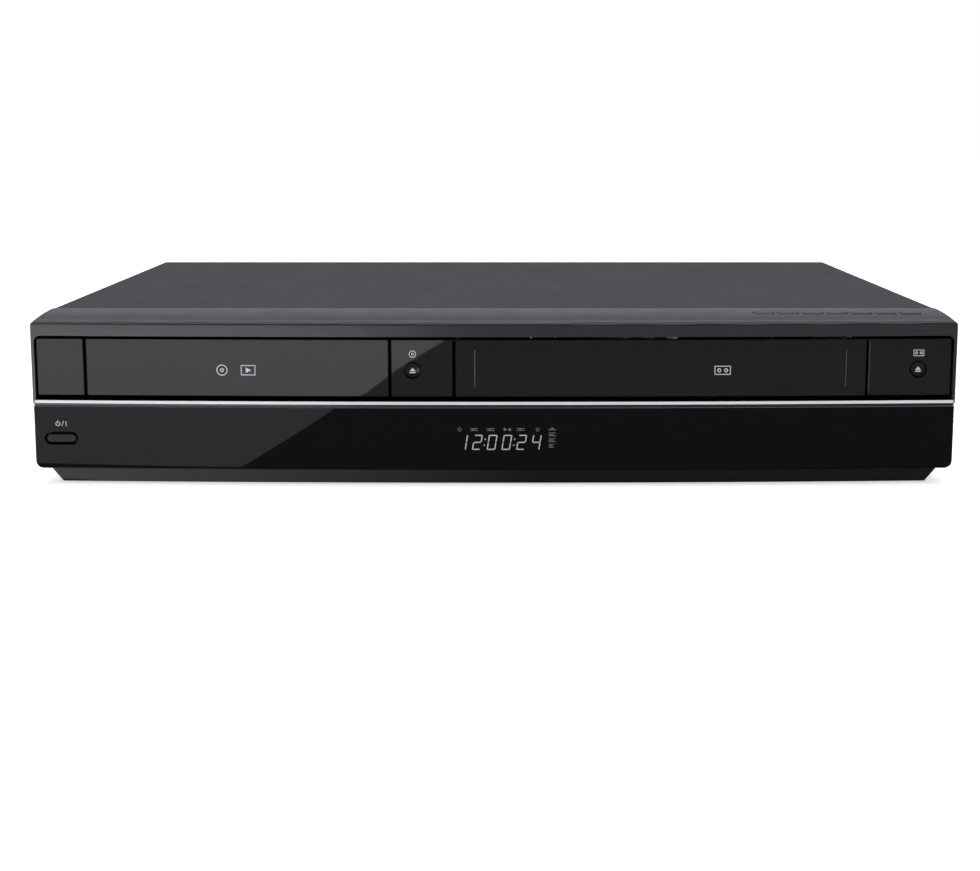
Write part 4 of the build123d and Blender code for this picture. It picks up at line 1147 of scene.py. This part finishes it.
@dataclass
class FrontPrint:
    """The printed marks of the front: eject signs, plain pictograms and the standby sign."""

    disc_key: tuple[float, float] = (-37.7, 54.9)
    tape_key: tuple[float, float] = (197.5, 54.9)
    label_z: float = 62.6
    power: tuple[float, float] = (-202.0, 29.4)
    disc_door: tuple[float, float] = (-120.0, 54.9)
    cassette_door: tuple[float, float] = (106.0, 54.9)
    panel_depth: float = 1.8
    dish_depth: float = 2.45
    dish_ink: float = 0.1
    fascia_depth: float = 0.6

    def build(self, wardrobe: Wardrobe) -> None:
        """Builds every printed mark on the body that it belongs to.

        Args:
            wardrobe: Where the finishes come from.
        """
        marks = (
            (self._eject("disc_eject_sign", *self.disc_key), "disc_key"),
            (self._eject("tape_eject_sign", *self.tape_key), "tape_key"),
            (self._disc_sign(), "case"),
            (self._tape_sign(), "case"),
            (self._standby(), "case"),
            (self._disc_door_signs(), "tray"),
            (self._cassette_door_sign(), "door"),
        )
        for mark, body in marks:
            mark.done(wardrobe.get(Finish.PRINT), Slot.PRINT, body)

    def _eject(self, name: str, x: float, z: float) -> FrontMark:
        """A triangle over a bar, on a key.

        Args:
            name: The piece's name.
            x: The key's middle, across the front.
            z: The key's middle, in height.

        Returns:
            The mark.
        """
        mark = FrontMark(name, self.dish_depth, self.dish_ink, flat_x=x)
        mark.shape([(x - 1.35, z - 0.35), (x + 1.35, z - 0.35), (x, z + 1.25)])
        mark.bar(x - 1.35, x + 1.35, z - 1.25, z - 0.75)
        return mark

    def _disc_sign(self) -> FrontMark:
        """A small disc over the disc eject key."""
        mark = FrontMark("disc_sign", self.panel_depth)
        for outer, inner in ((1.7, 1.35), (0.6, 0.25)):
            mark.ring(self.disc_key[0], self.label_z, outer, inner)
        return mark

    def _tape_sign(self) -> FrontMark:
        """A small cassette over the tape eject key."""
        mark = FrontMark("cassette_sign", self.panel_depth)
        x, z = self.tape_key[0], self.label_z
        mark.frame(x - 2.5, x + 2.5, z - 1.5, z + 1.5, 0.3)
        for reel in (x - 1.1, x + 1.1):
            mark.ring(reel, z, 0.65, 0.3)
        return mark

    def _disc_door_signs(self) -> FrontMark:
        """A plain disc and a framed play sign, side by side on the disc door."""
        mark = FrontMark("disc_door_signs", self.panel_depth)
        x, z = self.disc_door
        for outer, inner in ((2.6, 2.15), (0.95, 0.5)):
            mark.ring(x - 6.2, z, outer, inner)
        mark.shape([(x + 4.9, z - 1.3), (x + 7.4, z), (x + 4.9, z + 1.3)])
        mark.frame(x + 2.6, x + 9.4, z - 2.4, z + 2.4, 0.4)
        return mark

    def _cassette_door_sign(self) -> FrontMark:
        """A plain cassette on the cassette door."""
        mark = FrontMark("cassette_door_sign", self.panel_depth)
        x, z = self.cassette_door
        mark.frame(x - 3.8, x + 3.8, z - 2.1, z + 2.1, 0.4)
        for reel in (x - 1.6, x + 1.6):
            mark.ring(reel, z, 0.95, 0.5)
        return mark

    def _standby(self) -> FrontMark:
        """The standby sign over the power key: a broken ring with a bar in it, a slanted bar and a plain one."""
        mark = FrontMark("standby_sign", self.fascia_depth)
        x, z = self.power
        mark.ring(x - 1.8, z, 1.15, 0.85, 125, 290)
        mark.bar(x - 1.95, x - 1.65, z + 0.1, z + 1.5)
        mark.bar(x + 1.9, x + 2.2, z - 1.2, z + 1.2)
        mark.shape([(x - 0.1, z - 1.2), (x + 0.2, z - 1.2), (x + 1.0, z + 1.3), (x + 0.7, z + 1.3)])
        return mark


@dataclass
class DoorGrooves:
    """The satin ribs that stand in the two grooves of the cassette door, pale grey as a painted highlight on the
    grooves.
    """

    places: tuple[float, float] = (-9.0, 163.5)
    shift: float = 0.12
    half: float = 0.26
    low: float = 47.0
    high: float = 64.5
    face_depth: float = 1.95
    floor_depth: float = 2.5
    rounding: float = 0.12

    def build(self, wardrobe: Wardrobe) -> None:
        """Builds one rounded rib per groove.

        Args:
            wardrobe: Where the finishes come from.
        """
        for name, x in zip(("left_rib", "right_rib"), self.places):
            piece = Piece(name)
            bmesh.ops.create_cube(piece.mesh, size=1.0)
            front, back = BOW.y(x, self.face_depth), BOW.y(x, self.floor_depth)
            size = (2 * self.half, back - front, self.high - self.low)
            bmesh.ops.scale(piece.mesh, vec=size, verts=piece.mesh.verts)
            place = (x + self.shift, (front + back) / 2, (self.low + self.high) / 2)
            bmesh.ops.translate(piece.mesh, vec=place, verts=piece.mesh.verts)
            bmesh.ops.bevel(
                piece.mesh, geom=list(piece.mesh.edges), offset=self.rounding, segments=2, profile=0.5,
                affect="EDGES", material=-1,
            )
            # The pale grey finish is a painted highlight on the real ribs.
            piece.done(wardrobe.get(Finish.GROOVE_HIGHLIGHT), Slot.PANEL, "door")


SIGN_OUTLINES = {
    "left": [[(-0.6, 0.0), (0.6, -0.8), (0.6, 0.8)]],
    "right": [[(0.6, 0.0), (-0.6, 0.8), (-0.6, -0.8)]],
    "square": [rectangle(-0.7, 0.7, -0.7, 0.7)],
    "pause": [rectangle(-0.7, -0.25, -0.7, 0.7), rectangle(0.25, 0.7, -0.7, 0.7)],
    "ring": [[(0.8 * math.cos(turn * math.pi / 8), 0.8 * math.sin(turn * math.pi / 8)) for turn in range(16)]],
    "minus": [rectangle(-0.8, 0.8, -0.2, 0.2)],
}


@dataclass
class TopKeyPrint:
    """A plain transport sign on each of the seven top keys."""

    signs: tuple[tuple[str, ...], ...] = (
        ("left", "left"), ("right",), ("right", "right"), ("square",), ("pause",), ("ring",), ("minus",),
    )
    first_x: float = 128.0
    pitch: float = 11.6
    y: float = -149.0
    z: float = 79.36
    size: float = 1.3
    step: float = 1.9
    pair_shift: float = 0.8
    ink: float = 0.03

    def build(self, wardrobe: Wardrobe) -> None:
        """Builds one sign per key.

        Args:
            wardrobe: Where the finishes come from.
        """
        for number, elements in enumerate(self.signs):
            mark = Piece(f"top_key_sign_{number + 1}")
            x = self.first_x + self.pitch * number - self.pair_shift * (len(elements) - 1)
            for index, element in enumerate(elements):
                self._draw(mark, element, x + self.step * index)
            mark.done(wardrobe.get(Finish.FAINT_PRINT), Slot.PRINT, f"key_{number + 1}")

    def _draw(self, mark: Piece, element: str, x: float) -> None:
        """Adds one element of a sign.

        Args:
            mark: The mark that it is added to.
            element: The element's name.
            x: The element's middle.
        """
        for outline in SIGN_OUTLINES[element]:
            points = [(x + self.size * dx, self.y + self.size * dy, self.z) for dx, dy in outline]
            mark.thicken(mark.polygon(points), (0, 0, self.ink))


@dataclass
class JackRings:
    """The coloured insulating rings round the jacks at the rear."""

    first_x: float = -75.0
    pitch: float = 15.0
    rows: tuple[float, float] = (28.0, 50.0)
    inner: float = 4.25
    outer: float = 5.25
    low_y: float = 168.95
    high_y: float = 169.75
    chamfer: float = 0.3
    steps: int = 40

    def build(self, wardrobe: Wardrobe) -> None:
        """Builds one ring per jack.

        Args:
            wardrobe: Where the finishes come from.
        """
        lower = [Finish.YELLOW, Finish.JACK_WHITE, Finish.RED] * 2
        upper = [Finish.GREEN, Finish.BLUE, Finish.RED, Finish.YELLOW, Finish.JACK_WHITE, Finish.RED]
        for row, z, finishes in zip(("lower", "upper"), self.rows, (lower, upper)):
            for column, finish in enumerate(finishes):
                ring = self._ring(f"jack_ring_{row}_{column + 1}", self.first_x + self.pitch * column, z)
                ring.done(wardrobe.get(finish), Slot.JACK, "case", smooth=True)

    def _ring(self, name: str, x: float, z: float) -> Piece:
        """One ring with a chamfered outer edge, spun about its jack's axis.

        Args:
            name: The piece's name.
            x: The jack's place across the rear.
            z: The jack's height.

        Returns:
            The ring, without the face that it was spun from.
        """
        piece = Piece(name)
        section = [
            (self.inner, self.low_y), (self.outer, self.low_y), (self.outer, self.high_y - self.chamfer),
            (self.outer - self.chamfer, self.high_y), (self.inner, self.high_y),
        ]
        face, = piece.polygon([(x + radius, y, z) for radius, y in section])
        bmesh.ops.spin(
            piece.mesh, geom=[face, *face.edges, *face.verts], cent=(x, 0, z), axis=(0, 1, 0),
            angle=math.tau, steps=self.steps, use_merge=True,
        )
        spun_from = [face for face in piece.mesh.faces if len(face.verts) == len(section)]
        bmesh.ops.delete(piece.mesh, geom=spun_from, context="FACES_ONLY")
        return piece


@dataclass(frozen=True)
class Lamp:
    """One soft rectangular lamp, in metres and watts."""

    name: str
    place: tuple[float, float, float]
    aim: tuple[float, float, float]
    size: tuple[float, float]
    watts: float

    def hang(self) -> None:
        """Puts the lamp into the scene, unseen by the camera."""
        data = bpy.data.lights.new(self.name, "AREA")
        data.shape = "RECTANGLE"
        data.size, data.size_y = self.size
        data.energy = self.watts
        lamp = bpy.data.objects.new(self.name, data)
        lamp.location = self.place
        lamp.rotation_euler = (Vector(self.aim) - Vector(self.place)).to_track_quat("-Z", "Y").to_euler()
        lamp.visible_camera = False
        bpy.context.scene.collection.objects.link(lamp)


@dataclass
class Studio:
    """Floor, lamps, camera and two glowing cards that only reflections see. Its lengths are in millimetres.

    The card's edge is the line, across the front and in height, where its light ends on the front.
    """

    camera_y: float = -1002.5
    camera_z: float = 166.6
    camera_pitch: float = 9.748
    focal_px: float = 1802.9
    frame_px: float = 980.0
    axis_px: float = 494.0
    sky_low: tuple = (0.16, tone(0.40, 0.41, 0.43))
    sky_dip: tuple = (0.42, tone(0.17, 0.175, 0.185))
    sky_high: tuple = (0.62, tone(0.34, 0.345, 0.36))
    floor_half: float = 9000.0
    floor_glow: float = 0.60
    white_from: float = 600.0
    white_rate: float = 0.0006
    card_lift: float = 0.6
    card_left: float = -3000.0
    card_depth: float = 1.0
    card_glow: float = 6.2
    card_gain: float = 0.6
    card_edge: tuple[tuple[float, float], ...] = (
        (-118.0, 9.5), (-73.0, 38.0), (-60.0, 44.5), (-50.0, 51.5), (-45.0, 55.5), (-22.0, 69.4), (-125.0, 71.0),
        (-150.0, 77.0),
    )
    chin_size: tuple[float, float] = (720.0, 45.0)
    chin_y: float = -187.5
    chin_end: float = 20.0
    chin_fade: float = 230.0
    chin_glow: float = 0.12
    chin_gain: float = 1.65
    lamps: tuple[Lamp, ...] = (
        Lamp("overhead", (0.0, 0.1, 2.2), (0, 0, 0), (2.6, 2.2), 42.0),
        Lamp("front_left", (-1.5, -1.6, 1.3), (0, 0, 0.04), (1.0, 1.0), 14.0),
        Lamp("front_right", (1.6, -1.4, 1.3), (0, 0, 0.04), (0.9, 0.9), 8.0),
    )

    def build(self) -> None:
        """Sets everything up."""
        self._camera()
        self._world()
        self._floor()
        for lamp in self.lamps:
            lamp.hang()
        self._card()
        self._chin_card()

    def _camera(self) -> None:
        """The camera at the photograph's place and angle."""
        data = bpy.data.cameras.new("camera")
        data.sensor_width = 36.0
        data.lens = self.focal_px * data.sensor_width / self.frame_px
        data.shift_x = (self.frame_px / 2 - self.axis_px) / self.frame_px
        data.clip_start = 0.01
        camera = bpy.data.objects.new("camera", data)
        camera.location = (0, self.camera_y * MM, self.camera_z * MM)
        camera.rotation_euler = (math.radians(90 - self.camera_pitch), 0, 0)
        bpy.context.scene.collection.objects.link(camera)
        bpy.context.scene.camera = camera

    def _world(self) -> None:
        """A plain white surround for the camera, and a softer one for the light."""
        world = bpy.data.worlds.new("surround")
        world.use_nodes = True
        bpy.context.scene.world = world
        tree = world.node_tree
        back = tree.nodes["Background"]
        back.inputs["Strength"].default_value = 1.0
        path = tree.nodes.new("ShaderNodeLightPath")
        direction = tree.nodes.new("ShaderNodeTexCoord")
        split = tree.nodes.new("ShaderNodeSeparateXYZ")
        tree.links.new(direction.outputs["Generated"], split.inputs[0])
        ramp = tree.nodes.new("ShaderNodeValToRGB")
        stops = ramp.color_ramp.elements
        stops[0].position, stops[0].color = self.sky_low
        stops[1].position, stops[1].color = self.sky_high
        stops.new(self.sky_dip[0]).color = self.sky_dip[1]
        tree.links.new(split.outputs["Z"], ramp.inputs[0])
        mix = tree.nodes.new("ShaderNodeMix")
        mix.data_type = "RGBA"
        tree.links.new(ramp.outputs[0], mix.inputs[6])
        mix.inputs[7].default_value = tone(1.0, 1.0, 1.0)
        tree.links.new(path.outputs["Is Camera Ray"], mix.inputs[0])
        tree.links.new(mix.outputs[2], back.inputs["Color"])

    def _floor(self) -> None:
        """A wide pale floor, white to the camera where nothing shades it."""
        mesh = bmesh.new()
        bmesh.ops.create_grid(mesh, x_segments=2, y_segments=2, size=self.floor_half * MM)
        floor = set_down("floor", mesh)
        shader = Shader("floor_paper")
        path = shader.node("ShaderNodeLightPath")
        pale = shader.blend(shader.noise(3.0, 2.0), tone(0.86, 0.86, 0.86), tone(0.88, 0.88, 0.88))
        x, y, _ = shader.axes()
        away = ((x * x + y * y) ** 0.5 - self.white_from) * self.white_rate
        lift = Expr(shader.tree, path.outputs["Is Camera Ray"]) * (away.clamped() + self.floor_glow)
        shader.finish(
            Base_Color=pale, Roughness=0.9, IOR=1.2, Emission_Color=tone(1, 1, 1), Emission_Strength=lift,
        )
        floor.data.materials.append(shader.material)

    def _mirrored(self, x: float, z: float) -> tuple[float, float]:
        """Where at the card's height the camera sees a point of the front reflect.

        Args:
            x: The point's place across the front.
            z: The point's height.

        Returns:
            The reflected point's x and y.
        """
        y = BOW.y(x, self.card_depth)
        ray = Vector((x, y - self.camera_y, z - self.camera_z))
        turn = BOW.slope(x)
        normal = Vector((turn, -math.sqrt(1 - turn * turn), 0))
        out = ray.reflect(normal)
        steps = (self.card_lift - z) / out.z
        return (x + out.x * steps, y + out.y * steps)

    def _card(self) -> None:
        """The light card on the floor before the player's left half, a little brighter further out."""
        mesh = bmesh.new()
        shore = [self._mirrored(x, z) for x, z in self.card_edge]
        right = [mesh.verts.new((x * MM, y * MM, self.card_lift * MM)) for x, y in shore]
        left = [mesh.verts.new((self.card_left * MM, y * MM, self.card_lift * MM)) for _, y in shore]
        for index in range(len(shore) - 1):
            mesh.faces.new((right[index], right[index + 1], left[index + 1], left[index]))
        card = set_down("light_card", mesh)
        shader = Shader("card_light")
        _, y, _ = shader.axes()
        near_y, far_y = shore[0][1], shore[-1][1]
        share = ((y - near_y) / (far_y - near_y)).clamped()
        card.data.materials.append(self._reflected_light(shader, share * self.card_gain + self.card_glow))

    def _chin_card(self) -> None:
        """A narrow card under the whole front, bright at the left and fading to the right."""
        mesh = bmesh.new()
        width, length = self.chin_size
        bmesh.ops.create_grid(mesh, x_segments=1, y_segments=1, size=0.5)
        bmesh.ops.scale(mesh, vec=(width * MM, length * MM, 1.0), verts=mesh.verts)
        bmesh.ops.translate(mesh, vec=(0.0, self.chin_y * MM, self.card_lift * MM), verts=mesh.verts)
        card = set_down("chin_card", mesh)
        shader = Shader("chin_card_light")
        x, _, _ = shader.axes()
        fade = ((self.chin_end - x) / self.chin_fade).clamped()
        card.data.materials.append(self._reflected_light(shader, fade * self.chin_gain + self.chin_glow))

    def _reflected_light(self, shader: Shader, strength: Expr) -> bpy.types.Material:
        """Makes a material glow in reflections only, and be clear to all else.

        Args:
            shader: The material.
            strength: How strongly it glows.

        Returns:
            The finished material.
        """
        path = shader.node("ShaderNodeLightPath")
        glow = shader.node("ShaderNodeEmission", Color=tone(0.97, 0.98, 1.0), Strength=strength)
        clear = shader.node("ShaderNodeBsdfTransparent")
        mix = shader.node("ShaderNodeMixShader")
        shader.feed(mix.inputs[0], path.outputs["Is Glossy Ray"])
        shader.feed(mix.inputs[1], clear.outputs[0])
        shader.feed(mix.inputs[2], glow.outputs[0])
        shader.feed(shader.output.inputs["Surface"], mix.outputs[0])
        return shader.material


def main() -> None:
    """Builds the dressed player in its studio."""
    logging.basicConfig(level=logging.INFO, format="%(name)s: %(message)s")
    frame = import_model()
    bpy.context.scene.view_settings.view_transform = "Standard"
    wardrobe = Wardrobe()
    wardrobe.dress_nodes(frame["nodes"])
    ClockDisplay().build(wardrobe)
    FrontPrint().build(wardrobe)
    DoorGrooves().build(wardrobe)
    TopKeyPrint().build(wardrobe)
    JackRings().build(wardrobe)
    Studio().build()


if __name__ == "__main__":
    main()
